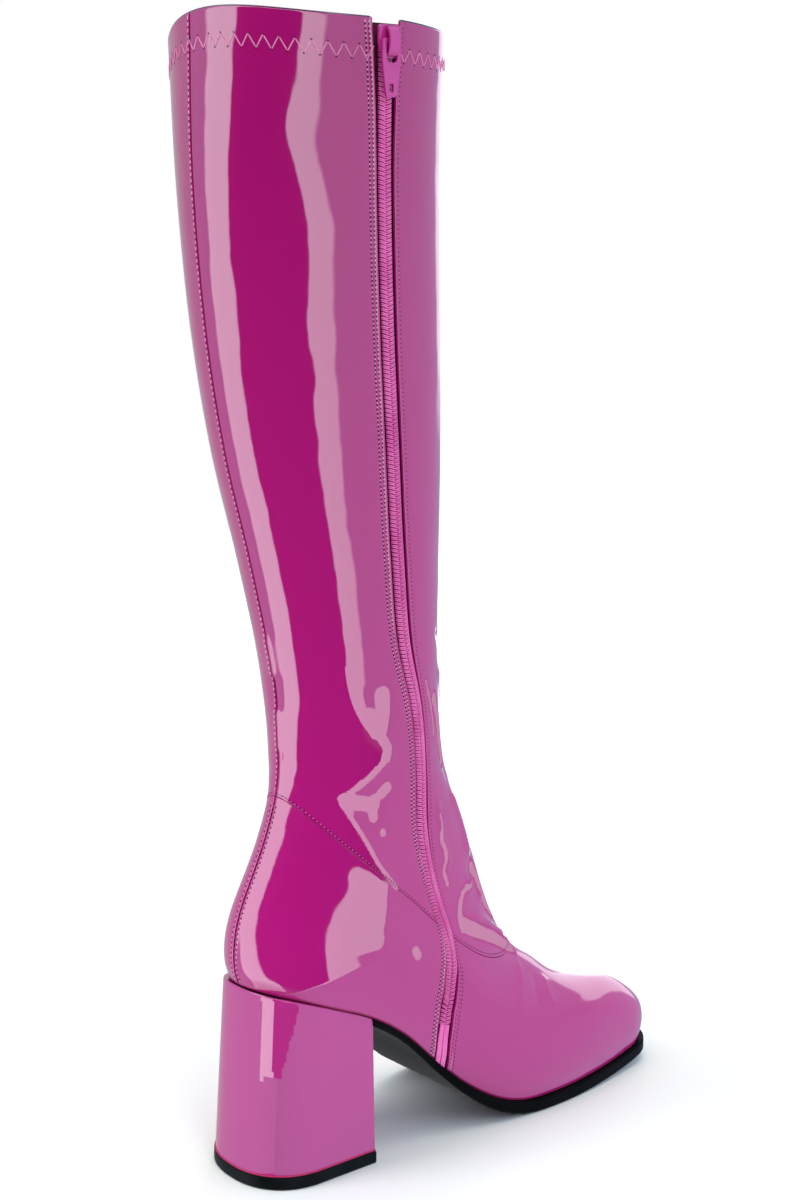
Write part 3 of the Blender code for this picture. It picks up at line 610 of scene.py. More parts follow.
def make_cloth(name, low, high, scale):
    """Cloth with fine woven bands."""
    material, tree, shader = shader_material(name)
    inputs = {"Vector": object_place(tree), "Scale": scale, "Distortion": 1.5}
    wave = add_node(tree, "ShaderNodeTexWave", inputs, "Fac", bands_direction="Z")
    fill(tree, shader, {"Base Color": add_tone(tree, wave, low, high, 0.2, 0.8), "Roughness": 0.85,
                        "Normal": add_bump(tree, wave, 0.0002)})
    return material


def make_gloss(name, low, high, roughness, coat=0.0, grain_scale=300.0, grain=0.00002, specular=0.4):
    """Moulded or enamelled surfaces: two close tones, a fine grain and a clear coat of the given weight."""
    material, tree, shader = shader_material(name)
    fill(tree, shader, {
        "Base Color": add_tone(tree, add_noise(tree, 60.0, 3.0), low, high), "Roughness": roughness,
        "Specular IOR Level": specular, "Coat Weight": coat, "Coat Roughness": 0.10, "Coat IOR": 1.6,
        "Normal": add_bump(tree, add_noise(tree, grain_scale), grain)})
    return material


def make_thread(name, low, high):
    return make_gloss(name, low, high, 0.55, 0.0, 2500.0, 0.00005)


# The darker tone is painted shade up the leg; the lighter tone is painted light at the foot.
patent = make_patent("patent_magenta", (0.330, 0.0028, 0.121), (0.440, 0.0062, 0.178), 0.00062)
# The heel's copy of the patent has a lighter, pinker base: a painted reflection of the floor.
heel_patent_painted_reflection = make_patent("heel_patent_painted_reflection", (0.44, 0.018, 0.190), (0.46, 0.023, 0.205), 0.00030)
lining = make_cloth("lining_cloth", (0.030, 0.004, 0.016), (0.050, 0.008, 0.028), 900.0)
tape_cloth = make_cloth("tape_weave", (0.10, 0.002, 0.030), (0.19, 0.004, 0.060), 1400.0)
footbed_cloth = make_cloth("footbed_cloth", (0.08, 0.006, 0.035), (0.11, 0.010, 0.050), 700.0)
nylon = make_gloss("coil_nylon", (0.80, 0.10, 0.40), (0.92, 0.17, 0.50), 0.35, 0.4)
# Dark red under the coil loops: partly the tape's own colour, partly painted shade between the loops.
coil_shade = make_gloss("coil_core", (0.16, 0.004, 0.055), (0.22, 0.008, 0.08), 0.6, specular=0.05)
thread = make_thread("thread", (0.66, 0.24, 0.44), (0.80, 0.36, 0.58))
seam_thread = make_thread("seam_thread", (0.50, 0.06, 0.26), (0.60, 0.10, 0.34))
hem_thread = make_thread("hem_thread", (0.62, 0.18, 0.36), (0.78, 0.28, 0.48))
# Near-black, barely reflecting: painted shade for needle holes, the closed seam's groove and the gaps between
# coil heads.
small_painted_shade = make_gloss("painted_shade_marks", (0.010, 0.001, 0.005), (0.02, 0.001, 0.010), 0.7, specular=0.03)
enamel = make_gloss("slider_enamel", (0.42, 0.012, 0.19), (0.48, 0.020, 0.23), 0.30, 0.8)
rubber = make_gloss("sole_rubber", (0.0016, 0.0016, 0.0018), (0.003, 0.003, 0.0032), 0.45, 0.0, 500.0,
                    0.00004, 0.03)
lift_rubber = make_gloss("lift_rubber", (0.003, 0.004, 0.005), (0.006, 0.008, 0.009), 0.45, 0.0, 700.0,
                         0.00005, 0.06)
wrap_red = make_gloss("wrap_edge_red", (0.50, 0.004, 0.085), (0.58, 0.008, 0.12), 0.5, 0.1)
# Dark red of the crease where the upper meets heel and sole: painted shade.
crease_shade_red = make_gloss("crease_shade_edge", (0.24, 0.002, 0.055), (0.32, 0.005, 0.085), 0.55, 0.1)
rim_purple = make_gloss("rim_edge", (0.030, 0.002, 0.045), (0.055, 0.004, 0.075), 0.35, 0.6)

# Skins: dense outer faces with turned edges, coarser linings inside them
EDGE_STEPS = np.array([0.0, 0.10, 0.25, 0.45, 0.75, 1.1, 1.45, 1.8, 2.2, 2.6, 3.0, 3.4, 3.9, 4.6, 5.6]) * MM
SEAM_STEPS = np.array([0.22, 0.45, 0.7, 1.0, 1.3, 1.7, 2.2, 2.8, 3.6, 4.6]) * MM
ROW_STEPS = np.array([0.0, 0.10, 0.25, 0.45, 0.75, 1.1, 1.6, 2.3, 3.2]) * MM
LINING_STEPS = np.array([0.0, 0.3, 0.8, 2.0, 5.0]) * MM
TURNED_IN = 4 * MM  # width of patent that is turned in over the lining

# Relief of the sewn edges: height, distance from the edge or seam, and width, in mm
REAR_ROWS = (1.75 * MM, 3.45 * MM)  # stitch rows behind the zip, from the panel's edge
FRONT_ROWS = (2.1 * MM, 3.7 * MM)  # and before it
REAR_RELIEF = [(0.20, 0.75, 0.6), (-0.16, REAR_ROWS[0] / MM, 0.45), (0.10, 2.6, 0.5),
               (-0.14, REAR_ROWS[1] / MM, 0.45)]
FRONT_RELIEF = [(0.22, 0.8, 0.7), (-0.16, FRONT_ROWS[0] / MM, 0.5)]
SEAM_RELIEF = [(-0.65, 0.0, 0.42), (0.14, 1.4, 0.7)]


def edge_depth(distance, wall):
    """How deep the outer face lies this far from a turned edge: a half round of the wall's thickness."""
    radius = 0.5 * wall
    t = np.clip(1 - distance / radius, 0, 1)
    return radius * (1 - np.sqrt(np.maximum(1 - t * t, 0)))


def trim_relief(level, run):
    """Relief of the sewn edges: a rounded lip, a dip at each stitch row and the closed back seam."""
    ahead = run - slot_half(level)
    behind = skin.length_at(level) - slot_half(level) - run
    seam = np.abs(run - skin.back_at(level))
    relief = 0.0
    for distance, bumps in ((behind, REAR_RELIEF), (ahead, FRONT_RELIEF), (seam, SEAM_RELIEF)):
        for height, place, width in bumps:
            relief = relief + height * np.exp(-(((distance / MM - place) / width) ** 2))
    return relief * MM


def column_runs(level, steps, seam_steps, count_front, count_back):
    """Distances round a ring: close at both slot edges and beside the back seam, even between."""
    back = skin.back_at(level)
    first = slot_half(level) + steps
    last = skin.length_at(level) - slot_half(level) - steps[::-1]
    before = back - seam_steps[::-1]
    after = back + seam_steps
    wide = np.linspace(first[-1], before[0], count_front + 2)[1:-1]
    narrow = np.linspace(after[-1], last[0], count_back + 2)[1:-1]
    return np.concatenate([first, wide, before, [back], after, narrow, last])


def grid_faces(rows, columns, flip=False, closed=False, ring=False):
    """Faces between rows of points; closed joins the last column to the first, ring the last row."""
    index = np.arange(rows * columns).reshape(rows, columns)
    if closed:
        index = np.concatenate([index, index[:, :1]], 1)
    if ring:
        index = np.concatenate([index, index[:1]])
    corners = [index[:-1, :-1], index[:-1, 1:], index[1:, 1:], index[1:, :-1]]
    return np.stack(corners[::-1] if flip else corners, -1).reshape(-1, 4).tolist()


def tube_faces(rows, sides):
    """Faces of a tube that is closed at both ends."""
    last = (rows - 1) * sides
    return grid_faces(rows, sides, closed=True) + [list(range(sides))[::-1], list(range(last, last + sides))]


SEAM_RUN = run_along(skin.base[:, GRID_AROUND // 2])


def climb(level):
    """Distance up the skin from the sole to a level, half way round."""
    return np.interp(level, skin.levels, SEAM_RUN)


def panel_grid(levels, low, high, steps, counts, sharp):
    """Distances round a panel's rings, and each point's distance from the panel's nearest edge."""
    runs = np.array([column_runs(level, *steps, *counts) for level in levels])
    half = slot_half(levels)[:, None]
    sides = np.minimum(runs - half, skin.length_at(levels)[:, None] - half - runs)
    ends = np.minimum(sharp[0] * (climb(levels) - climb(low)), sharp[1] * (climb(high) - climb(levels)))
    return runs, np.minimum(sides, ends[:, None])


def make_panel(node, low, high, inner_levels, wall, counts, sharp):
    """The outer skin between two levels with its edges turned in, and the lining that meets them."""
    bottom = np.interp(climb(low) + ROW_STEPS, SEAM_RUN, skin.levels)
    top = np.interp(climb(high) - ROW_STEPS[::-1], SEAM_RUN, skin.levels)
    middle = [level for level in inner_levels if bottom[-1] < level < top[0]]
    levels = np.concatenate([bottom, middle, top])
    runs, nearest = panel_grid(levels, low, high, (EDGE_STEPS, SEAM_STEPS), counts, sharp)
    rows = levels[:, None]
    outer = skin.read(rows, runs, edge_depth(nearest, wall) - trim_relief(rows, runs))[0]
    faces = grid_faces(*runs.shape)
    piece = new_object(node + "_skin", outer, faces, [patent])
    light = np.zeros(outer.size, np.float32)
    piece.data.vertices.foreach_get("normal", light)
    light = skin.light(rows, runs, light.reshape(outer.shape)).reshape(-1, 3)
    piece.data.normals_split_custom_set_from_vertices(light.tolist())
    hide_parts(node)
    levels = np.append(levels[:-1:4], levels[-1])
    counts = [count // 4 for count in counts]
    runs, nearest = panel_grid(levels, low, high, (LINING_STEPS, LINING_STEPS[1:]), counts, (1.0, 1.0))
    inner = skin.read(levels[:, None], runs, wall - edge_depth(nearest, wall))[0]
    kinds = np.where(np.minimum(nearest[:-1, :-1], nearest[:-1, 1:]).ravel() < TURNED_IN, 0, 1)
    new_object(node + "_skin_lining", inner, grid_faces(*runs.shape, flip=True), [patent, lining],
               face_materials=kinds)


SEAM_HALF = 0.5 * skin.step(SEAM_LEVEL, 0.12 * MM)
shaft_levels = np.concatenate([np.linspace(0.294, 0.50, 110), np.linspace(0.503, 0.93, 110),
                               np.linspace(0.932, 0.999, 55)])
make_panel("shaft", SEAM_LEVEL + SEAM_HALF, 1.0, shaft_levels, SHAFT_WALL, (180, 90), (4.0, 1.0))
make_panel("upper", 0.0, SEAM_LEVEL - SEAM_HALF, np.linspace(0.003, 0.287, 130), UPPER_WALL, (380, 110),
           (1.6, 4.0))


# Trails and stamps: small pieces repeated along lines on the skin
TRAIL_REACH = 0.2 * MM  # how far ahead and behind a trail's direction is read


class Trail:
    """A line on the skin, read by distance along it."""

    def __init__(self, levels, runs, lift=0.0, relief=True):
        levels, runs = np.broadcast_arrays(levels, runs)
        rise = lift + trim_relief(levels, runs % skin.length_at(levels)) if relief else lift
        self.points, self.normals = skin.read(levels, runs, -rise)
        self.run = run_along(self.points)

    def read(self, place):
        """Middle, along, across and out at places along the trail."""
        moves = (0.0, TRAIL_REACH, -TRAIL_REACH)
        middle, ahead, behind = (line_at(place + move, self.run, self.points) for move in moves)
        along = unit(ahead - behind)
        across = unit(np.cross(line_at(place, self.run, self.normals), along))
        return middle, along, across, np.cross(along, across)

    def places(self, spacing, start=0.0):
        """Middles of the spaces that fill the trail evenly from a start."""
        count = max(int((self.run[-1] - start) / spacing), 1)
        return start + (np.arange(count) + 0.5) * (self.run[-1] - start) / count


def stamp(name, frames, shape, material):
    """One mesh holding a copy of the shape in every frame of (middle, along, across, out)."""
    local, faces = shape
    middle, along, across, out = frames
    points = (middle[:, None] + local[None, :, :1] * along[:, None] + local[None, :, 1:2] * across[:, None]
              + local[None, :, 2:] * out[:, None])
    shifts = np.arange(len(middle)) * len(local)
    all_faces = [[corner + shift for corner in face] for shift in shifts.tolist() for face in faces]
    return new_object(name, points, all_faces, [material])


UPRIGHT = 0.05  # sideways part under which a direction counts as upright


def swept(line, radii, sides=6):
    """A closed tube along a local line, with the radii at its points."""
    line = np.asarray(line, float)
    turn = np.arange(sides) * 2 * math.pi / sides
    points = []
    for point, direction, radius in zip(line, unit(np.gradient(line, axis=0)), radii):
        side = np.cross((0.0, 0.0, 1.0), direction)
        if np.linalg.norm(side) < UPRIGHT:
            side = np.array((0.0, 1.0, 0.0))
        side = unit(side)
        up = np.cross(direction, side)
        points.extend(point + radius * (math.cos(angle) * side + math.sin(angle) * up) for angle in turn)
    return np.array(points), tube_faces(len(line), sides)


def stitch_shape(length, radius, arch, sink):
    """A bowed dash of thread."""
    place = np.array([-1, -0.9, -0.6, 0, 0.6, 0.9, 1.0])
    line = np.stack([place * length / 2, np.zeros(7), arch * (1 - place**2) - sink], -1)
    return swept(line, radius * np.array([0.25, 0.7, 1, 1, 1, 0.7, 0.25]))


def hole_shape(length, width, height):
    """A low dimple where the needle went through; the near-black it is given stands for the shade in the
    hole, a painted shade.
    """
    turn = np.arange(8) * math.pi / 4
    ring = np.stack([0.5 * length * np.cos(turn), 0.5 * width * np.sin(turn), np.zeros(8)], -1)
    points = np.concatenate([ring * 1.15 - (0, 0, 2 * height), ring + (0, 0, 0.6 * height),
                             ring * 0.5 + (0, 0, height), [(0, 0, height)]])
    cap = [(16 + index, 16 + (index + 1) % 8, 24) for index in range(8)]
    return points, grid_faces(3, 8, closed=True) + cap


def stitch_row(name, trail, spacing, radius=0.20, hole=0.62, cotton=thread):
    """Thread dashes with a needle hole between each two, the hole a near-black mark of painted shade;
    thread's radius and hole's width in mm.
    """
    places = trail.places(spacing)
    dash = stitch_shape(0.5 * spacing, radius * MM, 0.13 * MM, 0.08 * MM)
    stamp(name, trail.read(places), dash, cotton)
    between = places[:-1] + 0.5 * (places[1] - places[0])
    dimple = hole_shape(hole * 1.3 * MM, hole * MM, 0.13 * MM)
    stamp(name + "_holes", trail.read(between), dimple, small_painted_shade)


# Rows beside the zip: two behind it, two before it, the second of these on the foot alone
fine_levels = np.linspace(0.002, 0.9985, 1400)
for index, (offset, hole) in enumerate(zip(REAR_ROWS, (0.62, 0.80))):
    rear_trail = Trail(fine_levels, -slot_half(fine_levels) - offset)
    stitch_row(f"rear_row_{index + 1}", rear_trail, 1.75 * MM, 0.24, hole)
foot_levels = np.linspace(0.002, 0.255, 400)
apart = (1 - smooth_step(foot_levels, 0.0, 0.20)) * 0.4 * MM
front_trails = (Trail(fine_levels, slot_half(fine_levels) + FRONT_ROWS[0]),
                Trail(foot_levels, slot_half(foot_levels) + FRONT_ROWS[1] + apart))
for index, trail in enumerate(front_trails):
    stitch_row(f"front_row_{index + 1}", trail, 1.8 * MM, 0.18, 0.45, seam_thread)

# Back seam: one row of thread above the ankle, two beside the closed seam below it
high_levels = np.linspace(SEAM_LEVEL + 0.006, 0.9985, 1100)
stitch_row("back_row", Trail(high_levels, skin.back_at(high_levels) - 0.95 * MM), 2.4 * MM, 0.24, 0.55)
low_levels = np.linspace(0.004, SEAM_LEVEL - 0.006, 500)
back_low = skin.back_at(low_levels)
for side, label in ((-1, "inner"), (1, "outer")):
    stitch_row(f"counter_row_{label}", Trail(low_levels, back_low + side * 1.9 * MM), 2.2 * MM, radius=0.17)
# Stitches sunk in the closed seam's groove, given the near-black of painted shade.
seam_trail = Trail(low_levels, back_low, 0.55 * MM)
stamp("counter_seam_thread_shade", seam_trail.read(seam_trail.places(2.2 * MM)),
      stitch_shape(1.3 * MM, 0.16 * MM, 0.10 * MM, 0.06 * MM), small_painted_shade)


def ring_trail(level, margin, lift=0.0, relief=False):
    """A trail round the skin at a level, from one slot edge to the other."""
    first = slot_half(level) + margin
    last = skin.length_at(level) - first
    return Trail(level, first + (last - first) * np.linspace(0.0, 1.0, 900), lift, relief)


# Ankle seam: a row along the shaft's lower edge
ankle_level = SEAM_LEVEL + skin.step(SEAM_LEVEL, 1.7 * MM)
stitch_row("ankle_row", ring_trail(ankle_level, 1.0 * MM), 2.0 * MM, 0.20, 0.5, seam_thread)

# Hem: zigzag thread under the collar, its corners at two distances from the rim
HEM_TOP = 10.2 * MM
HEM_BOTTOM = 15.4 * MM
HEM_PITCH = 6.3 * MM
HEM_LEVEL = 0.97  # level of the slot's edges beside it
HEM_THREAD = 0.97  # share of each leg that its thread covers
RIM_ROWS = 150  # rows of the grid, from the rim down, in which it lies
rim_steps = np.linalg.norm(np.diff(skin.points[::-1][:RIM_ROWS], axis=0), axis=2)
rim_drop = np.concatenate([np.zeros((1, GRID_AROUND)), np.cumsum(rim_steps, axis=0)])


def under_rim(run_share, distance):
    """Levels at shares round and distances down from the rim."""
    column = run_share * (GRID_AROUND - 1)
    low = np.clip(column.astype(int), 0, GRID_AROUND - 2)
    levels = []
    for spot, fraction, down in zip(low, column - low, distance):
        drop = rim_drop[:, spot] * (1 - fraction) + rim_drop[:, spot + 1] * fraction
        levels.append(np.interp(down, drop, skin.levels[::-1][:RIM_ROWS]))
    return np.array(levels)


def zigzag_hem():
    length = skin.length[-1]
    first = (slot_half(HEM_LEVEL) + 0.6 * MM) / length
    count = int((1 - 2 * first) * length / (0.5 * HEM_PITCH))
    share = np.linspace(first, 1 - first, count + 1)
    levels = under_rim(share, np.where(np.arange(count + 1) % 2 == 0, HEM_TOP, HEM_BOTTOM))
    run = share * skin.length_at(levels)
    corner, normal = skin.read(levels, run, -trim_relief(levels, run))
    between = share[:-1] + 0.5 * np.diff(share)
    level_between = under_rim(between, np.full(count, 0.5 * (HEM_TOP + HEM_BOTTOM)))
    middle = skin.read(level_between, between * skin.length_at(level_between))[0]
    leg = np.diff(corner, axis=0)
    along = unit(leg)
    across = unit(np.cross(unit(normal[1:] + normal[:-1]), along))
    span = float(np.mean(np.linalg.norm(leg, axis=1)))
    stamp("hem_zigzag", (middle, along, across, np.cross(along, across)),
          stitch_shape(span * HEM_THREAD, 0.26 * MM, 0.10 * MM, 0.02 * MM), hem_thread)
    # Needle holes at the zigzag's corners, near-black marks of painted shade.
    across = unit(np.cross(normal, np.concatenate([leg, leg[-1:]])))
    stamp("hem_holes", (corner, np.cross(across, normal), across, normal),
          hole_shape(0.95 * MM, 0.75 * MM, 0.10 * MM), small_painted_shade)


zigzag_hem()


BEAD_STEP = 1.2 * MM


def edge_tube(name, trail, radius, material, sides=8):
    """A bead along a trail, rounded off at its ends."""
    places = np.linspace(0, trail.run[-1], max(int(trail.run[-1] / BEAD_STEP), 8))
    middle, along, across, out = trail.read(places)
    turn = np.arange(sides)[None, :, None] * 2 * math.pi / sides
    size = radius * np.minimum(1, np.sqrt(np.minimum(places, places[-1] - places) / (2 * radius) + 0.02))
    turned = np.cos(turn) * across[:, None] + np.sin(turn) * out[:, None]
    points = middle[:, None] + size[:, None, None] * turned
    new_object(name, points, tube_faces(len(places), sides), [material])


edge_tube("collar_edge", ring_trail(1.0, 0.2 * MM, -0.5 * SHAFT_WALL), 0.48 * MM, rim_purple)
# A dark red bead along the upper's foot fills the crease against heel and sole with painted shade.
edge_tube("feather_crease_shade", ring_trail(0.0, 0.3 * MM, -0.75 * MM), 0.62 * MM, crease_shade_red)

# Zip: two rows of bent coil loops over a closed core, smooth ridges at the lower end
COIL_PITCH = 1.75 * MM
COIL_START = 0.085  # level at which the loops start, above the ridges
COIL_SHIFT = 0.45  # mm by which the coil lies nearer the rear edge of the slot
STRAND_SHIFT = 0.21  # each loop's two strands lie this share of the pitch from its middle
LOOP_LINE = [
    (0.42, 2.85, -1.10), (0.40, 2.92, -0.45), (0.30, 2.70, 0.10), (0.12, 2.1, 0.40), (-0.14, 1.3, 0.46),
    (-0.42, 0.55, 0.34), (-0.52, 0.15, 0.05), (-0.52, 0.05, -0.5)]
LOOP_RADII = np.array([0.27, 0.28, 0.29, 0.30, 0.31, 0.34, 0.30, 0.24]) * MM
CORE_ACROSS = [-2.75, -2.4, -0.5, 0.0, 0.5, 2.4, 2.75]
CORE_HEIGHT = [-2.35, -0.40, -0.23, -0.60, -0.23, -0.40, -2.35]
TAPE_ACROSS = [-7.5, -4.0, 0.0, 4.0, 7.5, 7.5, 0.0, -7.5]
TAPE_HEIGHT = [-2.7, -2.6, -2.6, -2.6, -2.7, -3.3, -3.2, -3.3]
STRIP_STEP = 1.5 * MM

zip_levels = np.linspace(0.004, 0.984, 1500)
zip_trail = Trail(zip_levels, 0.0, relief=False)
coil_from = float(np.interp(COIL_START, zip_levels, zip_trail.run))
coil_places = zip_trail.places(COIL_PITCH, coil_from)
for side, label, shift in ((1, "rear", 0.0), (-1, "front", 0.5)):
    coil_frames = zip_trail.read(coil_places + shift * COIL_PITCH)
    for strand, back_step in enumerate((-STRAND_SHIFT, STRAND_SHIFT)):
        line = np.array(LOOP_LINE) * MM
        line[:, 0] += back_step * COIL_PITCH
        line[:, 1] = line[:, 1] * side + COIL_SHIFT * MM
        stamp(f"coil_{label}_{strand + 1}", coil_frames, swept(line, LOOP_RADII), nylon)


def zip_strip(name, trail, across, height, material, stop=None, reach=0.0):
    """A strip along the zip from a row of (across, height) in millimetres."""
    stop = trail.run[-1] if stop is None else stop
    places = np.linspace(0, stop, max(int(stop / STRIP_STEP), 4))
    middle, along, side, out = trail.read(places)
    middle[0] -= reach * along[0]
    across, height = (np.asarray(values)[None, :, None] * MM for values in (across, height))
    points = middle[:, None] + side[:, None] * across + out[:, None] * height
    faces = grid_faces(len(places), across.shape[1], flip=True)
    return new_object(name, points, faces, [material])


core = zip_strip("coil_core", zip_trail, np.array(CORE_ACROSS) + COIL_SHIFT, CORE_HEIGHT, coil_shade)
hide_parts("zip_coil")
top_trail = Trail(np.linspace(0.97, 0.9975, 60), 0.0, relief=False)
zip_strip("tape_top", top_trail, TAPE_ACROSS, TAPE_HEIGHT, tape_cloth)
arc = np.linspace(0, math.pi, 11)
for middle_at, width, label in ((-1.0, 1.32, "front"), (1.75, 1.28, "rear")):
    zip_strip(f"ridge_{label}", zip_trail, middle_at - width * np.cos(arc), 0.55 * np.sin(arc) ** 0.7 - 0.15,
              nylon, stop=coil_from + 0.5 * MM, reach=2.6 * MM)
# Dark dots where the coil's heads meet: painted shade between them.
dots = zip_trail.read(coil_places + 0.25 * COIL_PITCH)
dots = (dots[0] + (COIL_SHIFT - 0.6) * MM * dots[2] + 0.38 * MM * dots[3], *dots[1:])
stamp("coil_dots_shade", dots, hole_shape(0.75 * MM, 0.62 * MM, 0.12 * MM), small_painted_shade)

# Heel and top piece: smooth blocks from the heel's own plan
ROUND_STEPS = 48
SIDE_STEPS = 14
BREAST_STEPS = 10

# Bearings of the heel's faces, and the lay that they get: a bright strip near the back, a shade beside it
HEEL_STRIP = (-25.0, -11.0)
HEEL_STRIP_LOW = 0.0470  # height at which the strip starts
HEEL_STRIP_LAY = (-35.0, 0.6)  # lay of its middle, and how much the rest differs
HEEL_SHADE = (-3.0, 0.6)  # bearing of the shade's edge at its foot, and degrees per mm up
HEEL_SHADE_LAY = (-5.0, 0.3)  # its lay at bearing 0, and how much the rest differs
HEEL_REAR = -6.0  # under the strip the rear's faces reach to this bearing
HEEL_REAR_LAY = -46.0
HEEL_SEEN = 60.0  # bearings to either side that the picture sees


def heel_line(share, grow=0.0):
    """A closed plan: zip side of the breast, round the back, outer side, and across the breast."""
    back_low = BREAST - HEEL_LENGTH
    back = back_low + (SEAT_BACK - back_low) * share - grow
    half = 0.5 * (HEEL_WIDTH + (SEAT_WIDTH - HEEL_WIDTH) * share) + grow
    turn = np.linspace(0, math.pi / 2, ROUND_STEPS)
    x = back + 0.5 * HEEL_LENGTH * (1 - np.cos(turn) ** (2 / SEAT_POWER))
    ease = np.linspace(0, 1, SIDE_STEPS + 1)[1:]
    x = np.concatenate([x, x[-1] + (BREAST + grow - x[-1]) * (1 - (1 - ease) ** BREAST_POWER)])
    y = np.concatenate([half * np.sin(turn) ** (2 / SEAT_POWER), np.full(SIDE_STEPS, half)])
    across = np.linspace(half, -half, BREAST_STEPS + 2)[1:-1]
    breast = np.stack([np.full(BREAST_STEPS, BREAST + grow), across], -1)
    return np.concatenate([np.stack([x, -y], -1)[::-1], np.stack([x, y], -1)[1:], breast])


def make_block(name, shares, low_z, high_z, grow, material, node):
    """A block between two heights; high_z may be None for the line of the seat."""
    rows = []
    for share, drop in shares:
        line = heel_line(share if high_z is None else 0.0, grow - drop * MM)
        top = sole_top(line[:, 0]) - GAP if high_z is None else high_z
        rows.append(np.column_stack([line, low_z + (top - low_z) * np.full(len(line), share)]))
    points = np.array(rows)
    count = points.shape[1]
    faces = grid_faces(len(rows), count, flip=True, closed=True)
    centre_low = len(rows) * count
    last = centre_low - count
    for spot in range(count):
        after = (spot + 1) % count
        faces.append((spot, after, centre_low))
        faces.append((last + after, last + spot, centre_low + 1))
    middles = [points[0].mean(0), points[-1].mean(0)]
    piece = new_object(name, np.concatenate([points.reshape(-1, 3), middles]), faces, [material])
    piece.data.set_sharp_from_angle(angle=math.radians(50))
    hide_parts(node)
    return piece


def light_heel(piece):
    """Turns the heel's faces so that one upright strip near its back catches the light."""
    mesh = piece.data
    normals = np.zeros(len(mesh.loops) * 3, np.float32)
    mesh.corner_normals.foreach_get("vector", normals)
    normals = normals.reshape(-1, 3)
    bearing = face_bearing(normals)
    turned = bearing.copy()
    for face in mesh.polygons:
        if abs(face.normal.z) > 0.5 or face.center.x > BREAST - 1 * MM:
            continue
        spots = slice(face.loop_start, face.loop_start + face.loop_total)
        middle = face_bearing(np.array(face.normal))
        here = bearing[spots]
        rise = face.center.z - HEEL_STRIP_LOW
        if HEEL_STRIP[0] < middle < HEEL_STRIP[1] and rise > 0:
            turned[spots] = HEEL_STRIP_LAY[0] + HEEL_STRIP_LAY[1] * (here - 0.5 * sum(HEEL_STRIP))
        elif HEEL_STRIP[1] <= middle < HEEL_SHADE[0] + HEEL_SHADE[1] * rise / MM and rise > 0:
            turned[spots] = HEEL_SHADE_LAY[0] + HEEL_SHADE_LAY[1] * here
        elif -HEEL_SEEN < middle <= (HEEL_REAR if rise < 0 else HEEL_STRIP[0]):
            turned[spots] = np.minimum(here, HEEL_REAR_LAY)
        elif -HEEL_SEEN < middle < HEEL_SEEN:
            turned[spots] = np.maximum(here, PLAIN_LAY)
    mesh.normals_split_custom_set(turn_round(normals, turned - bearing).tolist())


# Rows of the blocks: share of the height, and how far the edge draws in there, in mm
heel_rows = [(0.0, 0.0), (0.01, 0.0)] + [(share, 0.0) for share in np.linspace(0.04, 0.97, 30)] + [
    (0.985, 0.05), (0.995, 0.2), (1.0, 0.5)]
# The wrap's patent has the floor's reflection painted into its lighter base.
light_heel(make_block("heel_wrap", heel_rows, LIFT + GAP, None, 0.0, heel_patent_painted_reflection, "heel_block"))
lift_rows = [(0.0, 0.7), (0.04, 0.35), (0.10, 0.1), (0.16, 0.0), (0.5, 0.0), (0.86, 0.0), (0.93, 0.1),
             (0.98, 0.35), (1.0, 0.6)]
make_block("lift_block", lift_rows, 0.0, LIFT, LIFT_EDGE, lift_rubber, "top_lift")


def wrap_edge(sides=6, radius=0.30 * MM, lift=0.25 * MM):
    """The red edge of the heel's wrap over the top piece, a closed bead."""
    rim = heel_line(0.0, 0.12 * MM)
    turn = np.arange(sides)[None, :, None] * 2 * math.pi / sides
    ahead = unit(np.roll(rim, -1, axis=0) - np.roll(rim, 1, axis=0))
    sideways = np.stack([-ahead[:, 1], ahead[:, 0]], -1)[:, None]
    height = np.broadcast_to(LIFT + lift + radius * np.sin(turn), (len(rim), sides, 1))
    bead = np.concatenate([rim[:, None] + radius * np.cos(turn) * sideways, height], -1)
    faces = grid_faces(len(rim), sides, closed=True, ring=True)
    new_object("wrap_edge", bead, faces, [wrap_red])


wrap_edge()

# Carried-over nodes get their finish
for node, material in (
    ("outsole", rubber), ("insole", footbed_cloth),
    ("zip_tape", tape_cloth), ("zip_slider", enamel), ("zip_pull", enamel),
):
    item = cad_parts[node]
    item.data.materials.clear()
    item.data.materials.append(material)


def make_camera():
    data = bpy.data.cameras.new("camera")
    data.sensor_width = 36.0
    data.lens = CAMERA_FOCAL * data.sensor_width
    data.clip_start = 0.01
    camera = bpy.data.objects.new("camera", data)
    bpy.context.scene.collection.objects.link(camera)
    place = CAMERA_AIM + toward_camera * CAMERA_DISTANCE
    place.z = CAMERA_HEIGHT
    camera.location = place
    camera.rotation_euler = (CAMERA_AIM - place).to_track_quat("-Z", "Y").to_euler()
    bpy.context.scene.camera = camera


# Studio: brightness of the surroundings by bearing from the camera's side, + to the picture's right
STRIP_TINT = (0.96, 1.0, 1.06)
SIDE_TINT = (0.84, 1.0, 1.36)
SURROUND = [
    (-180.0, 0.55, STRIP_TINT), (-125.0, 0.65, STRIP_TINT), (-104.0, 0.82, SIDE_TINT),
    (-88.5, 0.85, SIDE_TINT), (-86.0, 3.5, STRIP_TINT), (-58.0, 3.8, STRIP_TINT),
    (-56.5, 0.02, SIDE_TINT), (14.0, 0.02, SIDE_TINT), (15.5, 3.3, STRIP_TINT),
    (34.0, 3.1, STRIP_TINT), (36.0, 0.98, SIDE_TINT), (75.0, 0.95, SIDE_TINT),
    (105.0, 0.85, SIDE_TINT), (150.0, 0.55, SIDE_TINT), (164.0, 0.50, SIDE_TINT),
    (166.0, 1.9, STRIP_TINT), (178.0, 1.9, STRIP_TINT), (180.0, 0.55, STRIP_TINT)]
LOW_END = (-0.80, -0.60)
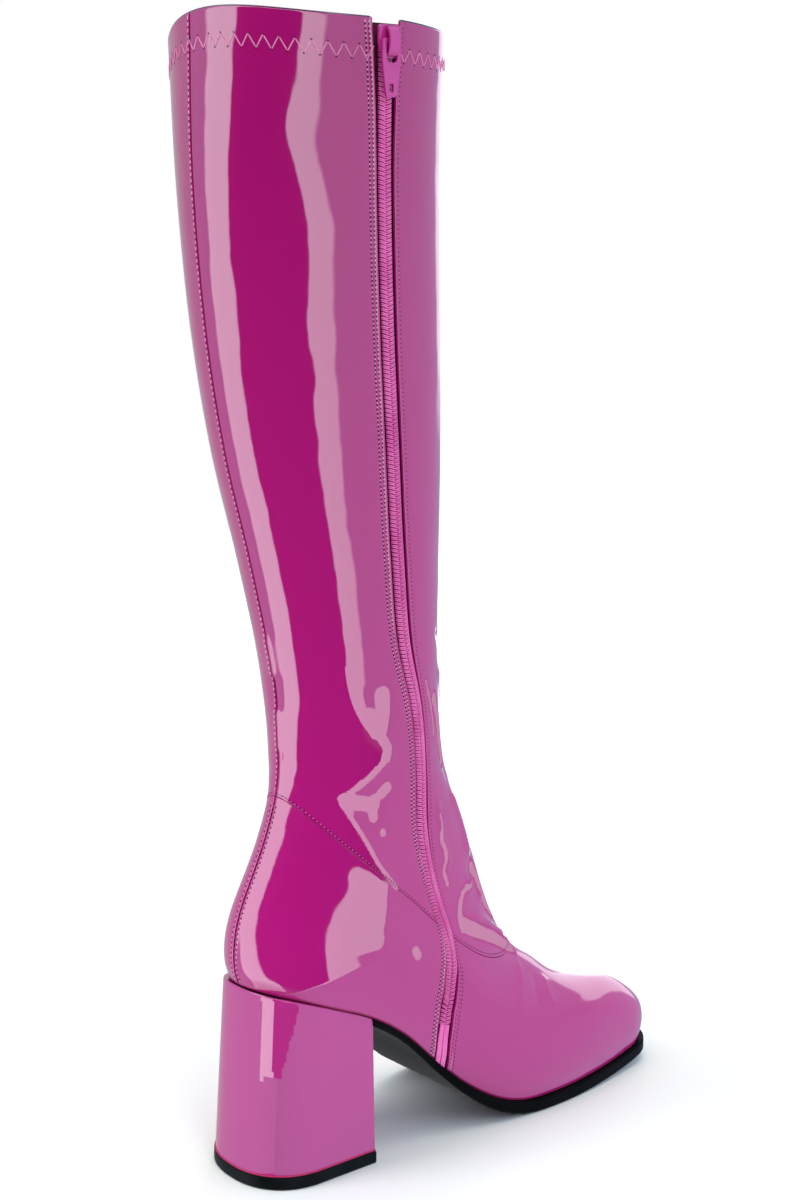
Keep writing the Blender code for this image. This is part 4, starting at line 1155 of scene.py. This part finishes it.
LOW_LIGHT = 0.65
HIGH_BEARING = (146.0, 176.0)  # a soft light far behind, over the toe
HIGH_LEVEL = (0.0, 0.06, 0.50, 0.58)
HIGH_LIGHT = 1.4
HIGH_EDGE = 2.0  # degrees in which it fades at either side
OVERHEAD_FROM = 0.93  # a ceiling light that no upright face mirrors
OVERHEAD_EDGE = 0.02
OVERHEAD = (3.4, 3.2, 2.6)
SURROUND_TOP = 3.8
FLOOR_HALF = 5.0
DOME_RADIUS = 7.0


def add_range(tree, value, low, high):
    inputs = {"Value": value, "From Min": low, "From Max": high}
    return add_node(tree, "ShaderNodeMapRange", inputs, "Result")


def add_mix(tree, factor, first, second, blend="MIX"):
    """Two colours mixed; 6, 7 and output 2 are the node's colour sockets."""
    inputs = {0: factor, 6: first, 7: second}
    return add_node(tree, "ShaderNodeMix", inputs, 2, data_type="RGBA", blend_type=blend)


def shade_of(tint, light):
    """A light's colour as a share of the brightest one."""
    return tuple(part * light / SURROUND_TOP for part in tint)


def place_of(degrees):
    return (degrees + 180.0) / 360.0


def make_world():
    world = bpy.data.worlds.new("studio")
    bpy.context.scene.world = world
    world.use_nodes = True
    tree = world.node_tree
    where = add_node(tree, "ShaderNodeTexCoord", {}, "Generated")
    ahead, right = (
        add_node(tree, "ShaderNodeVectorMath", {0: where, 1: axis}, "Value", operation="DOT_PRODUCT")
        for axis in (toward_camera, picture_right))
    bearing = add_node(tree, "ShaderNodeMath", {0: right, 1: ahead}, operation="ARCTAN2")
    share = add_range(tree, bearing, -math.pi, math.pi)
    height = add_node(tree, "ShaderNodeSeparateXYZ", {0: where}, "Z")
    stops = [(place_of(degrees), shade_of(tint, light)) for degrees, light, tint in SURROUND]
    low = (*shade_of(STRIP_TINT, LOW_LIGHT), 1.0)
    sides = add_mix(tree, add_range(tree, height, *LOW_END), low, add_ramp(tree, share, stops))
    start, end = HIGH_BEARING
    bearings = [place_of(degrees) for degrees in (start - HIGH_EDGE, start, end, end + HIGH_EDGE)]
    fades = [(0.0,) * 3, (1.0,) * 3, (1.0,) * 3, (0.0,) * 3]
    up, round_it = (add_ramp(tree, value, list(zip(places, fades)))
                    for value, places in ((height, HIGH_LEVEL), (share, bearings)))
    far = add_mix(tree, 1.0, up, round_it, "MULTIPLY")
    lit = add_mix(tree, HIGH_LIGHT / SURROUND_TOP, sides, far, "ADD")
    ceiling = add_range(tree, height, OVERHEAD_FROM, OVERHEAD_FROM + OVERHEAD_EDGE)
    colour = add_mix(tree, ceiling, lit, (*shade_of(OVERHEAD, 1.0), 1.0))
    fill(tree, tree.nodes["Background"], {"Color": colour, "Strength": SURROUND_TOP})


def make_stage():
    """A pale floor, and a white backdrop that only the camera sees."""
    pale, tree, shader = shader_material("floor")
    fill(tree, shader, {
        "Base Color": add_tone(tree, add_noise(tree, 3.0), (0.91, 0.935, 0.900), (0.93, 0.955, 0.920)),
        "Roughness": 0.9, "Specular IOR Level": 0.0})
    mesh = bpy.data.meshes.new("floor")
    corners = ((-1, -1), (1, -1), (1, 1), (-1, 1))
    mesh.from_pydata([(x * FLOOR_HALF, y * FLOOR_HALF, 0) for x, y in corners], [], [(0, 1, 2, 3)])
    mesh.materials.append(pale)
    floor = bpy.data.objects.new("floor", mesh)
    bpy.context.scene.collection.objects.link(floor)
    floor.visible_glossy = False
    white, tree, shader = shader_material("backdrop")
    tree.nodes.remove(shader)
    glow = add_node(tree, "ShaderNodeEmission", {"Strength": 1.0})
    fill(tree, tree.nodes["Material Output"], {"Surface": glow})
    bpy.ops.mesh.primitive_uv_sphere_add(segments=48, ring_count=24, radius=DOME_RADIUS)
    dome = bpy.context.active_object
    dome.name = "backdrop"
    dome.data.materials.append(white)
    for kind in ("diffuse", "glossy", "transmission", "volume_scatter", "shadow"):
        setattr(dome, "visible_" + kind, False)


make_camera()
make_world()
make_stage()
bpy.context.scene.view_settings.view_transform = "Standard"
